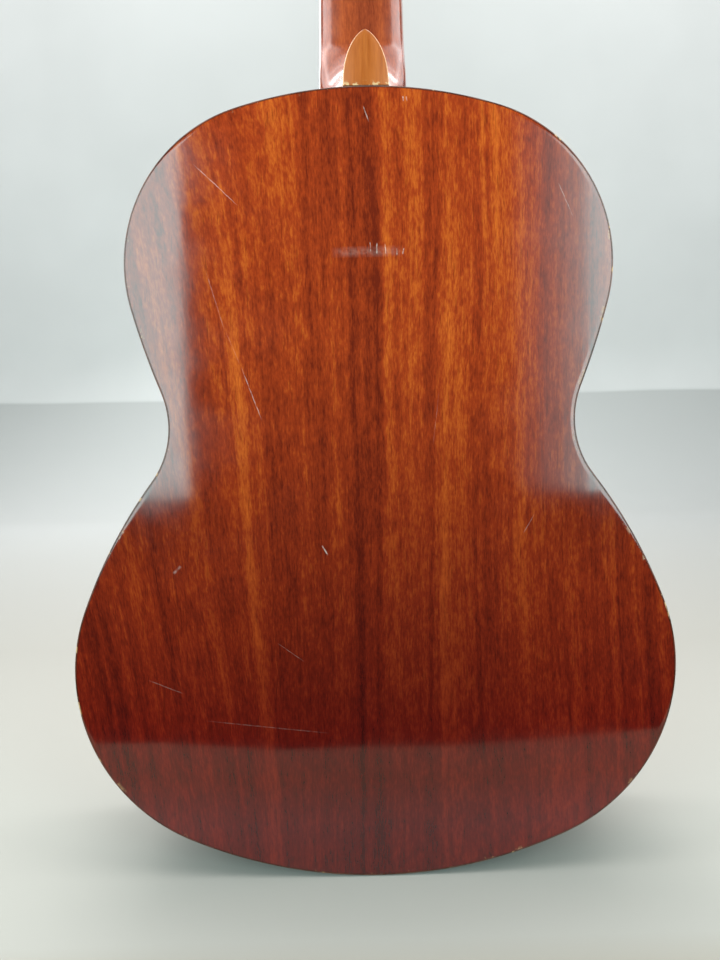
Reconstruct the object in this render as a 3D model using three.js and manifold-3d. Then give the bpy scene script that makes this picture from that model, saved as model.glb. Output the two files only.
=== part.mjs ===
// A classical guitar with a 650 mm scale, as it comes apart on a bench: sound box, neck, bridge, strings and
// a slotted headstock with six worm-geared tuners. Millimetres. +Z runs up the neck, -Y is the front, where
// the soundboard faces, and +X is the treble side. The origin is the middle of the flat strip at the tail
// end, on which the guitar is stood.
import * as THREE from "three";
import { mergeVertices } from "three/addons/utils/BufferGeometryUtils.js";
import Module from "manifold-3d";

const wasm = await Module();
wasm.setup();

// ---------------------------------------------------------------- driving dimensions
const GLUE_GAP = 0.3; // between curved pieces that are glued face to face

// Sound box. The outline is a chain of tangent arcs, from the middle of the top round to the tail, each
// [radius, degrees]. A negative turn is the hollow of the waist. One more arc, centred on the middle line,
// closes the chain at the tail.
const BODY_LENGTH = 477;
const BODY_ARCS = [[271, 16.6], [94, 88.3], [461, 6.4], [54.3, -58.9], [320, 16.4], [114, 87.4]];
const CHORD_ERROR = 0.42; // how far a straight step may leave its arc
const FRONT_Y = -48.5; // outer face of the soundboard
const BACK_Y_TAIL = 48.5;
const BACK_Y_HEEL = 43.5;
const BACK_CROSS_RADIUS = 4572; // the back is arched across the grain
const BACK_LONG_RISE = 2; // and a little along it
const TOP_THICK = 2.6;
const BACK_THICK = 2.6;
const SIDE_THICK = 2.2;
const TAIL_STRIP_WIDTH = 24;

// Sound hole and what surrounds it
const HOLE_Z = 323;
const HOLE_R = 43.5;
const ROSETTE_INNER_R = 48;
const ROSETTE_OUTER_R = 62;
const ROSETTE_DEPTH = 1.2;
const HOLE_RING = { edge: 1, width: 9, thick: 1.5 }; // inside the box, set back from the hole's edge

// Linings, blocks and bars inside the box
const LINING_WIDTH = 6;
const LINING_HEIGHT = 14;
const NECK_BLOCK = { width: 70, thick: 24, footLength: 62, footThick: 14 };
const END_BLOCK = { width: 60, thick: 15 };
const BACK_BARS = { upper: 400, middle: 285, lower: 140 }; // their places along Z
const BACK_BAR = { width: 9, height: 14 };
const TOP_BARS = { upper: 388, lower: 258 };
const TOP_BAR = { width: 8, height: 17 };
const FAN = { count: 7, width: 6, height: 4, topZ: 250, tailZ: 42, topSpread: 92, tailSpread: 232, rise: 90 };
const BRIDGE_PATCH = { width: 180, length: 34, thick: 2 };

// Neck, fingerboard and strings
const SCALE = 650;
const NUT_Z = BODY_LENGTH + SCALE / 2; // the twelfth fret is level with the top of the box
const SADDLE_Z = NUT_Z - SCALE;
const NUT_WIDTH = 52;
const BODY_JOIN_WIDTH = 61.5;
const FINGERBOARD_THICK = 6;
const FINGERBOARD_END_Z = HOLE_Z + HOLE_R + 1;
const FRETS = 19;
const FRET = { width: 2.2, height: 1, tang: 1.8, tangWidth: 0.6, spineWidth: 3 };
const NUT = { thick: 5, height: 8.6, slotDepth: 1, slotHalf: 0.8 };
const NECK_DEPTH_NUT = 15;
const NECK_DEPTH_BODY = 17;
const SHAFT_ROUNDNESS = 3; // power of the shaft's D-shaped section: 2 is an ellipse, more is fuller
const HEEL = { depth: 88.4, capThick: 3.2, baseHalf: 13.1, length: 30.6, shoulder: 6, scoop: 28 };
const OGIVE = { power: 2.2, tip: 0.65 }; // outline of the heel from its base to its tip
const FLARE = { depth: 22, square: 5, squareDepth: 15 }; // towards the front the heel gets wider and squarer
const HEEL_BLEND = 4; // how sharply the heel's flanks meet the shaft
const RIDGE_HALF = 0.4; // half the width of the neck's ridge line
const SADDLE = { length: 80, thick: 2.6, top: 12, seat: 2 }; // top and seat are heights above the soundboard
const BRIDGE = { middleHalf: 41, wingHalf: 94, holeR: 1 };
const STRING_DIAMETERS = [0.71, 0.82, 1.03, 0.74, 0.86, 1.09]; // first string, on the treble side, to sixth
const NUT_SPACING = 8.6;
const SADDLE_SPACING = 11.7;

// Headstock, in its own tilted frame: +Z along it from the nut, +Y into it from its front face
const HEAD_TILT = THREE.MathUtils.degToRad(15);
const HEAD = { length: 186, half: 31, thick: 20, veneer: 2, shoulder: 14 };
const SLOT = { inner: 6.5, outer: 24.5, start: 20, end: 136 };
const ROLLER_S = [45, 80, 115]; // places of the rollers along the headstock
const ROLLER = { y: 10.5, radius: 5, journal: 3, spigot: 2.5, clearance: 0.4 };
const PLATE = { thick: 1.2, front: 3, back: 18, start: 20, end: 138 };

// Worm drive of a tuner: a single-start worm and a wheel of 14 teeth
const WHEEL = { teeth: 14, pitchR: 5.2, addendum: 0.5, dedendum: 0.8, thick: 2.8, toothShare: 0.4 };
const WORM = { pitchR: 2.6, shaftR: 1.8, turns: 2.5, threadShare: 0.36, steps: 7 };
const WORM_PITCH = (2 * Math.PI * WHEEL.pitchR) / WHEEL.teeth;
const WORM_OFFSET = WHEEL.pitchR + WORM.pitchR; // from the wheel's axis to the worm's
const DRIVE_X = HEAD.half + GLUE_GAP + PLATE.thick + 3.7; // middle plane of the wheel and the worm
const EAR = { thick: 2, half: 3.6, reach: 7.6, holeR: 2.2, frontY: 3.4, backY: 15.6 };
const BUTTON = { start: 22, length: 17, wide: 8, flat: 4.6 };

// ---------------------------------------------------------------- materials
const finish = (color, roughness, metalness = 0) =>
  new THREE.MeshStandardMaterial({ color, roughness, metalness });
const MATERIALS = {
  backWood: finish(0x8c3a18, 0.16),
  sideWood: finish(0x7d3316, 0.18),
  topWood: finish(0xd9a25c, 0.22),
  neckWood: finish(0x8f4020, 0.2),
  capWood: finish(0xb97a38, 0.3),
  innerWood: finish(0xd8bd8c, 0.7),
  darkWood: finish(0x38201a, 0.45),
  inlay: finish(0x6a4a2c, 0.3),
  bone: finish(0xe8dfc6, 0.35),
  nylon: finish(0xe6e0d0, 0.25),
  wound: finish(0xb9b2a4, 0.35, 0.8),
  steel: finish(0xc8b27c, 0.3, 1),
  brass: finish(0xb8924a, 0.35, 1),
  pearl: finish(0xe9e6dc, 0.25),
  fretWire: finish(0xb9b7ae, 0.3, 1),
};

// ---------------------------------------------------------------- small tools
const guitar = new THREE.Group();

function addMesh(name, geometry, material, parent = guitar) {
  const mesh = new THREE.Mesh(geometry, material);
  mesh.name = name;
  parent.add(mesh);
  return mesh;
}

// A closed geometry as a manifold solid, and back.
function toSolid(geometry) {
  const bare = geometry.clone();
  bare.deleteAttribute("normal");
  bare.deleteAttribute("uv");
  const merged = mergeVertices(bare, 1e-4);
  return new wasm.Manifold(
    new wasm.Mesh({
      numProp: 3,
      vertProperties: new Float32Array(merged.attributes.position.array),
      triVerts: new Uint32Array(merged.index.array),
    }),
  );
}

function toGeometry(solid) {
  const mesh = solid.getMesh();
  return new THREE.BufferGeometry()
    .setAttribute("position", new THREE.BufferAttribute(new Float32Array(mesh.vertProperties), 3))
    .setIndex(new THREE.BufferAttribute(new Uint32Array(mesh.triVerts), 1));
}

const cut = (geometry, ...tools) =>
  toGeometry(tools.reduce((solid, tool) => solid.subtract(toSolid(tool)), toSolid(geometry)));
const join = (geometry, ...others) =>
  toGeometry(others.reduce((solid, other) => solid.add(toSolid(other)), toSolid(geometry)));
const common = (a, b) => toGeometry(toSolid(a).intersect(toSolid(b)));

// A box from its lowest and highest corners.
function boxBetween([x0, y0, z0], [x1, y1, z1]) {
  return new THREE.BoxGeometry(x1 - x0, y1 - y0, z1 - z0)
    .translate((x0 + x1) / 2, (y0 + y1) / 2, (z0 + z1) / 2);
}

// A shape drawn in X and Z, made into a slab between two depths.
function slab(shape, yFront, yBack, curveSegments = 12) {
  return new THREE.ExtrudeGeometry(shape, { depth: yBack - yFront, bevelEnabled: false, curveSegments })
    .rotateX(Math.PI / 2)
    .translate(0, yBack, 0);
}

// A shape drawn in Y and Z, made into a bar between two values of X.
function barAcross(points, xLow, xHigh) {
  return new THREE.ExtrudeGeometry(new THREE.Shape(points.map(([y, z]) => new THREE.Vector2(y, z))), {
    depth: xHigh - xLow,
    bevelEnabled: false,
  })
    .applyMatrix4(new THREE.Matrix4().set(0, 0, 1, 0, 1, 0, 0, 0, 0, 1, 0, 0, 0, 0, 0, 1))
    .translate(xLow, 0, 0);
}

// A round bar along X.
function rodAlongX(radius, xLow, xHigh, y, z, sides = 16) {
  return new THREE.CylinderGeometry(radius, radius, xHigh - xLow, sides)
    .rotateZ(Math.PI / 2)
    .translate((xLow + xHigh) / 2, y, z);
}

// A closed skin over rings of points that all have the same count, capped at both ends.
function loft(rings) {
  const count = rings[0].length;
  const positions = rings.flat().flatMap((p) => [p.x, p.y, p.z]);
  const faces = [];
  for (let i = 0; i + 1 < rings.length; i++) {
    for (let j = 0; j < count; j++) {
      const a = i * count + j;
      const b = i * count + ((j + 1) % count);
      faces.push([a, b, a + count], [b, b + count, a + count]);
    }
  }
  capFaces(rings[0]).forEach((f) => faces.push([f[2], f[1], f[0]]));
  const last = (rings.length - 1) * count;
  capFaces(rings[rings.length - 1]).forEach((f) => faces.push(f.map((k) => k + last)));
  const volume = faces.reduce((sum, f) => sum + tetraVolume(positions, f), 0);
  const index = volume < 0 ? faces.flatMap((f) => [f[0], f[2], f[1]]) : faces.flat();
  return new THREE.BufferGeometry()
    .setAttribute("position", new THREE.Float32BufferAttribute(positions, 3))
    .setIndex(index);
}

function tetraVolume(positions, face) {
  const [a, b, c] = face.map((k) => new THREE.Vector3().fromArray(positions, 3 * k));
  return a.dot(b.cross(c)) / 6;
}

// Triangles over a ring, drawn in the plane it lies closest to, and turned the way the ring runs.
function capFaces(ring) {
  const normal = new THREE.Vector3();
  ring.forEach((p, i) => normal.add(p.clone().cross(ring[(i + 1) % ring.length])));
  const size = [normal.x, normal.y, normal.z].map(Math.abs);
  const drop = size.indexOf(Math.max(...size));
  const keep = [["y", "z"], ["z", "x"], ["x", "y"]][drop];
  const flat = ring.map((p) => new THREE.Vector2(p[keep[0]], p[keep[1]]));
  const faces = THREE.ShapeUtils.triangulateShape(flat, []);
  const [a, b, c] = faces[0].map((k) => ring[k]);
  const facing = b.clone().sub(a).cross(c.clone().sub(a)).dot(normal);
  return facing < 0 ? faces.map((f) => [f[2], f[1], f[0]]) : faces;
}

// ---------------------------------------------------------------- the outline of the box
// Half of the outline, moved inwards by inset, as points [x, z] from the middle of the top to the tail.
function halfOutline(inset = 0) {
  const radians = BODY_ARCS.map(([r, turn]) => [r, THREE.MathUtils.degToRad(turn)]);
  const rawTail = walkArcs(radians, 0);
  const scale = BODY_LENGTH / -rawTail[rawTail.length - 1][1];
  const scaled = radians.map(([r, turn]) => [r * scale, turn]);
  return walkArcs(scaled, inset).map(([x, drop]) => [x, BODY_LENGTH - inset + drop]);
}

// Points along the arcs and the closing arc, starting level at [0, 0]. An inset shrinks a bulge and widens a
// hollow.
function walkArcs(arcs, inset) {
  let x = 0;
  let drop = 0;
  let heading = 0;
  const points = [[x, drop]];
  const walk = (radius, turn) => {
    const sign = Math.sign(turn);
    const r = radius - sign * inset;
    const steps = Math.ceil(Math.abs(turn) / (2 * Math.acos(1 - CHORD_ERROR / radius)));
    for (let i = 0; i < steps; i++) {
      const next = heading + turn / steps;
      x += sign * r * (Math.sin(next) - Math.sin(heading));
      drop += sign * r * (Math.cos(next) - Math.cos(heading));
      heading = next;
      points.push([x, drop]);
    }
  };
  arcs.forEach(([radius, turn]) => walk(radius, turn));
  const rest = Math.PI - heading;
  walk(x / Math.sin(rest) + inset, rest);
  points[points.length - 1][0] = 0;
  return points;
}

function outlineShape(inset = 0) {
  const half = halfOutline(inset);
  const left = half.slice(1, -1).reverse().map(([x, z]) => [-x, z]);
  return new THREE.Shape([...half, ...left].reverse().map(([x, z]) => new THREE.Vector2(x, z)));
}

// The part of a half outline that lies outside xTop near the top and outside xTail near the tail.
function trimmed(points, xTop, xTail) {
  const first = points.findIndex(([x]) => x > xTop);
  const last = points.length - 1 - [...points].reverse().findIndex(([x]) => x > xTail);
  const at = (a, b, x) => [x, a[1] + ((b[1] - a[1]) * (x - a[0])) / (b[0] - a[0])];
  return [
    at(points[first - 1], points[first], xTop),
    ...points.slice(first, last + 1),
    at(points[last], points[last + 1], xTail),
  ];
}

// Half the width of the inside of the box at a height, for a given inset.
function halfWidthAt(z, inset) {
  const points = halfOutline(inset);
  const i = points.findIndex((p) => p[1] < z);
  const [a, b] = [points[i - 1], points[i]];
  return a[0] + ((b[0] - a[0]) * (z - a[1])) / (b[1] - a[1]);
}

// Outer face of the arched back.
function backY(x, z) {
  const along = z / BODY_LENGTH;
  const line = BACK_Y_TAIL + (BACK_Y_HEEL - BACK_Y_TAIL) * along;
  return line + BACK_LONG_RISE * (1 - (2 * along - 1) ** 2) - x ** 2 / (2 * BACK_CROSS_RADIUS);
}

// ---------------------------------------------------------------- sound box
const INNER_FRONT_Y = FRONT_Y + TOP_THICK;
const innerBackY = (x, z) => backY(x, z) - BACK_THICK - GLUE_GAP;

function ringOf(innerR, outerR, yFront, yBack, z) {
  const profile = [[innerR, 0], [outerR, 0], [outerR, yBack - yFront], [innerR, yBack - yFront], [innerR, 0]];
  const segments = 32;
  return new THREE.LatheGeometry(profile.map(([r, h]) => new THREE.Vector2(r, h)), segments)
    .translate(0, yFront, z);
}

function makeSoundboard() {
  const shape = outlineShape();
  shape.holes.push(new THREE.Path().absarc(0, HOLE_Z, HOLE_R, 0, 2 * Math.PI, true));
  const board = slab(shape, FRONT_Y, INNER_FRONT_Y, 16);
  const channel = ringOf(ROSETTE_INNER_R, ROSETTE_OUTER_R, FRONT_Y - 1, FRONT_Y + ROSETTE_DEPTH, HOLE_Z);
  addMesh("soundboard", cut(board, channel), MATERIALS.topWood);
  const rosette = ringOf(
    ROSETTE_INNER_R + GLUE_GAP, ROSETTE_OUTER_R - GLUE_GAP, FRONT_Y, FRONT_Y + ROSETTE_DEPTH - 0.1, HOLE_Z,
  );
  addMesh("rosette", rosette, MATERIALS.inlay);
}

function makeBack() {
  const columns = 4;
  const rows = halfOutline();
  const grid = (thick) =>
    rows.slice(1, -1).map(([half, z]) =>
      Array.from({ length: columns + 1 }, (_, k) => {
        const x = half * ((2 * k) / columns - 1);
        return new THREE.Vector3(x, backY(x, z) - thick, z);
      }),
    );
  const outer = grid(0);
  const inner = grid(BACK_THICK);
  const rings = outer.map((row, i) => [...row, ...inner[i].slice().reverse()]);
  const tip = ([, z]) => {
    const spread = 0.5;
    return rings[0].map((_, k) => {
      const inside = k > columns;
      const step = inside ? 3 * columns + 2 - 2 * k : 2 * k - columns;
      return new THREE.Vector3((spread * step) / columns, backY(0, z) - (inside ? BACK_THICK : 0), z);
    });
  };
  rings.unshift(tip(rows[0]));
  rings.push(tip(rows[rows.length - 1]));
  addMesh("back_plate", loft(rings), MATERIALS.backWood);
}

// A strip that follows the side wall: each section is a list of [inset, y], and mirror puts it on the bass
// side.
function ribbon(section, xTop, xTail, mirror) {
  const lines = section.map(([inset]) => trimmed(halfOutline(inset), xTop, xTail));
  const rings = lines[0].map((_, i) =>
    section.map(([, y], k) => {
      const [x, z] = lines[k][i];
      return new THREE.Vector3(mirror * x, typeof y === "function" ? y(x, z) : y, z);
    }),
  );
  return loft(rings);
}

function makeSides() {
  const wall = [[0, INNER_FRONT_Y], [SIDE_THICK, INNER_FRONT_Y], [SIDE_THICK, innerBackY], [0, innerBackY]];
  const outer = SIDE_THICK + GLUE_GAP;
  const inner = outer + LINING_WIDTH;
  const lip = 4; // height of a lining's thin edge
  const topLining = [
    [outer, INNER_FRONT_Y],
    [inner, INNER_FRONT_Y],
    [inner, INNER_FRONT_Y + lip],
    [outer, INNER_FRONT_Y + LINING_HEIGHT],
  ];
  const backLining = [
    [outer, (x, z) => innerBackY(x, z)],
    [inner, (x, z) => innerBackY(x, z)],
    [inner, (x, z) => innerBackY(x, z) - lip],
    [outer, (x, z) => innerBackY(x, z) - LINING_HEIGHT],
  ];
  for (const [side, mirror] of [["treble", 1], ["bass", -1]]) {
    const meeting = 0.4; // the sides meet this far from the middle line at the top
    const wallGeometry = ribbon(wall, meeting, TAIL_STRIP_WIDTH / 2 + GLUE_GAP, mirror);
    addMesh(`side_${side}`, wallGeometry, MATERIALS.sideWood);
    const ends = [NECK_BLOCK.width / 2 + 1, END_BLOCK.width / 2 + 1];
    addMesh(`top_lining_${side}`, ribbon(topLining, ...ends, mirror), MATERIALS.innerWood);
    addMesh(`back_lining_${side}`, ribbon(backLining, ...ends, mirror), MATERIALS.innerWood);
  }
  const half = TAIL_STRIP_WIDTH / 2;
  const stripBack = BACK_Y_TAIL - BACK_THICK - 2 * GLUE_GAP;
  const strip = boxBetween([-half, INNER_FRONT_Y, 0], [half, stripBack, SIDE_THICK]);
  addMesh("tail_strip", strip, MATERIALS.darkWood);
}

function makeBlocks() {
  const cavity = slab(outlineShape(SIDE_THICK + GLUE_GAP), INNER_FRONT_Y, BACK_Y_TAIL);
  const blockBack = BACK_Y_HEEL - BACK_THICK - 2 * GLUE_GAP;
  const top = BODY_LENGTH;
  const { width, thick, footLength, footThick } = NECK_BLOCK;
  const profile = [
    [INNER_FRONT_Y, top], [INNER_FRONT_Y, top - thick], [blockBack - footThick, top - thick],
    [blockBack - footThick / 2, top - footLength], [blockBack, top - footLength], [blockBack, top],
  ];
  const neckBlock = barAcross(profile, -width / 2, width / 2);
  addMesh("neck_block", common(neckBlock, cavity), MATERIALS.innerWood);
  const half = END_BLOCK.width / 2;
  const tailBack = BACK_Y_TAIL - BACK_THICK - 3 * GLUE_GAP;
  const blockTop = SIDE_THICK + GLUE_GAP + END_BLOCK.thick;
  const endBlock = boxBetween([-half, INNER_FRONT_Y, 0], [half, tailBack, blockTop]);
  addMesh("end_block", common(endBlock, cavity), MATERIALS.innerWood);
}

// A bar across the box with its ends shaved down, glued along faceY and standing off the plate by its height,
// towards +Y or -Y as `into` says.
function crossBar(half, z, width, height, faceY, into) {
  const points = [];
  const steps = 6;
  for (let i = 0; i <= steps; i++) {
    const x = half * ((2 * i) / steps - 1);
    points.push(new THREE.Vector2(x, faceY(x)));
  }
  const longestShave = 40;
  const shave = Math.min(longestShave, half / 2);
  const tip = 3;
  const inside = [[half, tip], [half - shave, height], [shave - half, height], [-half, tip]];
  inside.forEach(([x, h]) => points.push(new THREE.Vector2(x, faceY(x) + into * h)));
  return new THREE.ExtrudeGeometry(new THREE.Shape(points), { depth: width, bevelEnabled: false })
    .translate(0, 0, z - width / 2);
}

function makeBars() {
  const clearOfLining = SIDE_THICK + LINING_WIDTH + 3 * GLUE_GAP;
  const room = (z, width) =>
    Math.min(halfWidthAt(z - width, clearOfLining), halfWidthAt(z + width, clearOfLining));
  for (const [place, z] of Object.entries(BACK_BARS)) {
    const { width, height } = BACK_BAR;
    const face = (x) => innerBackY(x, z) - GLUE_GAP;
    const bar = crossBar(room(z, width), z, width, height, face, -1);
    addMesh(`back_bar_${place}`, bar, MATERIALS.innerWood);
  }
  for (const [place, z] of Object.entries(TOP_BARS)) {
    const { width, height } = TOP_BAR;
    const bar = crossBar(room(z, width), z, width, height, () => INNER_FRONT_Y, 1);
    addMesh(`top_bar_${place}`, bar, MATERIALS.innerWood);
  }
  const { edge, width, thick } = HOLE_RING;
  const inner = HOLE_R + edge;
  const ring = ringOf(inner, inner + width, INNER_FRONT_Y, INNER_FRONT_Y + thick, HOLE_Z);
  addMesh("soundhole_ring", ring, MATERIALS.innerWood);
}

// The fan of thin struts under the bridge, joined by the flat patch that crosses them.
function makeFan() {
  const struts = Array.from({ length: FAN.count }, (_, i) => {
    const share = i / (FAN.count - 1) - 0.5;
    const from = new THREE.Vector2(share * FAN.topSpread, FAN.topZ);
    const tailZ = FAN.tailZ + FAN.rise * share ** 2; // the outer struts stop short of the rounded tail
    const to = new THREE.Vector2(share * FAN.tailSpread, tailZ);
    const along = to.clone().sub(from);
    const [w, h] = [FAN.width / 2, FAN.height];
    const roof = [[-w, 0], [w, 0], [w, h / 2], [0, h], [-w, h / 2]];
    return new THREE.ExtrudeGeometry(new THREE.Shape(roof.map(([x, y]) => new THREE.Vector2(x, y))), {
      depth: along.length(),
      bevelEnabled: false,
    })
      .rotateY(Math.atan2(along.x, along.y))
      .translate(from.x, INNER_FRONT_Y, from.y);
  });
  const patchZ = SADDLE_Z - 6;
  const patch = boxBetween(
    [-BRIDGE_PATCH.width / 2, INNER_FRONT_Y, patchZ - BRIDGE_PATCH.length / 2],
    [BRIDGE_PATCH.width / 2, INNER_FRONT_Y + BRIDGE_PATCH.thick, patchZ + BRIDGE_PATCH.length / 2],
  );
  addMesh("fan_bracing", join(patch, ...struts), MATERIALS.innerWood);
}

// ---------------------------------------------------------------- neck
const boardWidth = (z) => NUT_WIDTH + ((BODY_JOIN_WIDTH - NUT_WIDTH) * (NUT_Z - z)) / (NUT_Z - BODY_LENGTH);
const fretZ = (n) => NUT_Z - SCALE * (1 - 2 ** (-n / 12));

// How far the heel stands out from the box at a depth below the fingerboard: nearly straight, with a scoop
// where it meets the neck.
function heelLength(depth) {
  const { length, shoulder, scoop } = HEEL;
  const bend = NECK_DEPTH_BODY + scoop;
  if (depth >= bend) return length + (shoulder * (HEEL.depth - depth)) / (HEEL.depth - bend);
  const drop = Math.max(bend - depth, 0);
  const round = Math.sqrt(Math.max(scoop ** 2 - Math.min(drop, scoop) ** 2, 0));
  return length + shoulder + scoop - round + Math.max(drop - scoop, 0);
}

const shaftDepth = (out) => NECK_DEPTH_BODY + ((NECK_DEPTH_NUT - NECK_DEPTH_BODY) * out) / (SCALE / 2);

// Depth of the neck's back, on the middle line, at a distance out from the box.
function neckDepth(out) {
  const shaft = shaftDepth(out);
  if (out >= heelLength(NECK_DEPTH_BODY)) return shaft;
  let low = NECK_DEPTH_BODY;
  let high = HEEL.depth;
  const halvings = 40;
  for (let i = 0; i < halvings; i++) {
    const middle = (low + high) / 2;
    if (heelLength(middle) > out) low = middle;
    else high = middle;
  }
  return Math.max(low, shaft);
}

// Half the width of the neck at a depth and a distance out: a D-shaped shaft that grows a heel.
function neckHalf(depth, out) {
  const edge = boardWidth(BODY_LENGTH + out) / 2;
  const down = Math.min(depth / shaftDepth(out), 1);
  const shaft = edge * (1 - down ** SHAFT_ROUNDNESS) ** (1 / SHAFT_ROUNDNESS);
  const share = Math.min(Math.max(out, 0) / heelLength(depth), 1);
  const below = Math.max(depth - NECK_DEPTH_BODY, 0);
  const flare = Math.exp(-below / FLARE.depth) - Math.exp((NECK_DEPTH_BODY - HEEL.depth) / FLARE.depth);
  const flank = HEEL.baseHalf + (edge - HEEL.baseHalf) * flare;
  const power = OGIVE.power + FLARE.square * Math.exp(-below / FLARE.squareDepth);
  const heel = flank * (1 - share ** power) ** OGIVE.tip;
  return Math.min(edge, (shaft ** HEEL_BLEND + heel ** HEEL_BLEND) ** (1 / HEEL_BLEND));
}

function makeNeck() {
  const heelStations = [-3, 0, 5, 10, 17, 24, 28, 30.4, 33, 36.6, 41, 47, 55, 64.6];
  const shaftStations = [120, 220, NUT_Z + NUT.thick - BODY_LENGTH];
  const steps = 8;
  const rings = [...heelStations, ...shaftStations].map((out) => {
    const depth = neckDepth(Math.max(out, 0));
    const right = [];
    for (let k = 0; k <= steps; k++) {
      const d = depth * Math.sin((k / steps) * (Math.PI / 2));
      const half = k === steps ? RIDGE_HALF : Math.max(neckHalf(d, Math.max(out, 0)), RIDGE_HALF);
      right.push(new THREE.Vector3(half, FRONT_Y + d, BODY_LENGTH + out));
    }
    return [...right, ...right.slice().reverse().map((p) => new THREE.Vector3(-p.x, p.y, p.z))];
  });
  addMesh("neck", cut(loft(rings), boxBlank()), MATERIALS.neckWood);
}

// The space that the sound box takes, a glue gap larger all round, to shape what is glued against it.
const boxBlank = () => slab(outlineShape(-GLUE_GAP), FRONT_Y - 1, BACK_Y_TAIL + 10);

function makeHeelCap() {
  const proud = 0.3; // it overlaps the heel by this much all round
  const across = (u) => Math.max((HEEL.baseHalf + proud) * (1 - u ** OGIVE.power) ** OGIVE.tip, proud);
  const up = (u) => BODY_LENGTH + u * (HEEL.length + proud);
  const shares = [0, 0.25, 0.5, 0.7, 0.85, 0.95, 0.99, 1];
  const right = shares.map((u) => new THREE.Vector2(across(u), up(u)));
  const left = shares.map((u) => new THREE.Vector2(-across(u), up(u))).reverse();
  const front = FRONT_Y + HEEL.depth + GLUE_GAP;
  const blank = slab(new THREE.Shape([...right, ...left]), front, front + HEEL.capThick);
  addMesh("heel_cap", cut(blank, boxBlank()), MATERIALS.capWood);
}

function makeFingerboard() {
  const endHalf = boardWidth(FINGERBOARD_END_Z) / 2;
  const outline = [
    [-endHalf, FINGERBOARD_END_Z],
    [endHalf, FINGERBOARD_END_Z],
    [NUT_WIDTH / 2, NUT_Z],
    [-NUT_WIDTH / 2, NUT_Z],
  ];
  const face = FRONT_Y - FINGERBOARD_THICK;
  const board = slab(new THREE.Shape(outline.map((p) => new THREE.Vector2(...p))), face, FRONT_Y);
  const play = 0.1;
  const zs = Array.from({ length: FRETS }, (_, n) => fretZ(n + 1));
  const slots = zs.map((z) =>
    boxBetween(
      [-40, face - 1, z - FRET.tangWidth / 2 - play],
      [40, face + FRET.tang + play, z + FRET.tangWidth / 2 + play],
    ),
  );
  const half = FRET.spineWidth / 2;
  const channelTop = face + FRET.tang - 0.6;
  const channel = boxBetween(
    [-half - play, channelTop - play, FINGERBOARD_END_Z + 1],
    [half + play, FRONT_Y + 1, NUT_Z - 8],
  );
  addMesh("fingerboard", cut(board, channel, ...slots), MATERIALS.darkWood);

  const wires = zs.map((z) => {
    const across = boardWidth(z) / 2;
    const [w, t] = [FRET.width / 2, FRET.tangWidth / 2];
    const section = [
      [face + FRET.tang, z - t], [face, z - t], [face, z - w], [face - FRET.height, z - w / 2],
      [face - FRET.height, z + w / 2], [face, z + w], [face, z + t], [face + FRET.tang, z + t],
    ];
    return barAcross(section, -across, across);
  });
  const spine = boxBetween([-half, channelTop, fretZ(FRETS) - 0.3], [half, channelTop + 1.2, fretZ(1) + 0.3]);
  addMesh("fret_set", join(spine, ...wires), MATERIALS.fretWire);
}

// ---------------------------------------------------------------- nut, bridge and strings
const STRING_PLACES = STRING_DIAMETERS.map((_, i) => 2.5 - i); // in string spacings from the middle line
const NUT_TOP_Y = FRONT_Y - NUT.height;
const SADDLE_TOP_Y = FRONT_Y - SADDLE.top;
const HOLE_Y = FRONT_Y - 5; // the string holes in the tie block

function makeNut() {
  const half = NUT_WIDTH / 2;
  const blank = boxBetween([-half, NUT_TOP_Y, NUT_Z], [half, FRONT_Y, NUT_Z + NUT.thick]);
  const slots = STRING_PLACES.map((place) => {
    const x = place * NUT_SPACING;
    return boxBetween(
      [x - NUT.slotHalf, NUT_TOP_Y - 1, NUT_Z - 1],
      [x + NUT.slotHalf, NUT_TOP_Y + NUT.slotDepth, NUT_Z + NUT.thick + 1],
    );
  });
  addMesh("nut", cut(blank, ...slots), MATERIALS.bone);
}

function makeBridge() {
  const z = (offset) => SADDLE_Z + offset;
  const y = (height) => FRONT_Y - height;
  const { middleHalf, wingHalf } = BRIDGE;
  const profile = [
    [y(0), z(-21)], [y(0), z(8)], [y(6.5), z(8)], [y(8), z(5)], [y(8), z(-5)], [y(3), z(-7)], [y(3), z(-8.5)],
    [y(9), z(-9.5)], [y(9), z(-20)], [y(8.5), z(-21)],
  ];
  const middle = barAcross(profile, -middleHalf, middleHalf);
  const wingProfile = [
    [y(0), z(-21)], [y(0), z(8)], [y(1.6), z(8)], [y(3.6), z(1)], [y(3.6), z(-14)], [y(1.6), z(-21)],
  ];
  const wings = barAcross(wingProfile, -wingHalf, wingHalf);
  const play = 0.1;
  const half = SADDLE.length / 2 + 2 * play;
  const slotHalf = SADDLE.thick / 2 + play;
  const slot = boxBetween([-half, y(20), z(-slotHalf)], [half, y(SADDLE.seat), z(slotHalf)]);
  const drill = new THREE.CylinderGeometry(BRIDGE.holeR, BRIDGE.holeR, 40, 6).rotateX(Math.PI / 2);
  const holes = STRING_PLACES.map((place) => drill.clone().translate(place * SADDLE_SPACING, HOLE_Y, z(-15)));
  const tieBlock = boxBetween([-middleHalf, y(12), z(-25)], [middleHalf, y(1), z(-8.2)]);
  const drilled = holes.map((hole) => common(hole, tieBlock));
  addMesh("bridge", cut(join(middle, wings), slot, ...drilled), MATERIALS.darkWood);
  const saddle = boxBetween(
    [-SADDLE.length / 2, SADDLE_TOP_Y, z(-SADDLE.thick / 2)],
    [SADDLE.length / 2, y(SADDLE.seat), z(SADDLE.thick / 2)],
  );
  addMesh("saddle", saddle, MATERIALS.bone);
}

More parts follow.
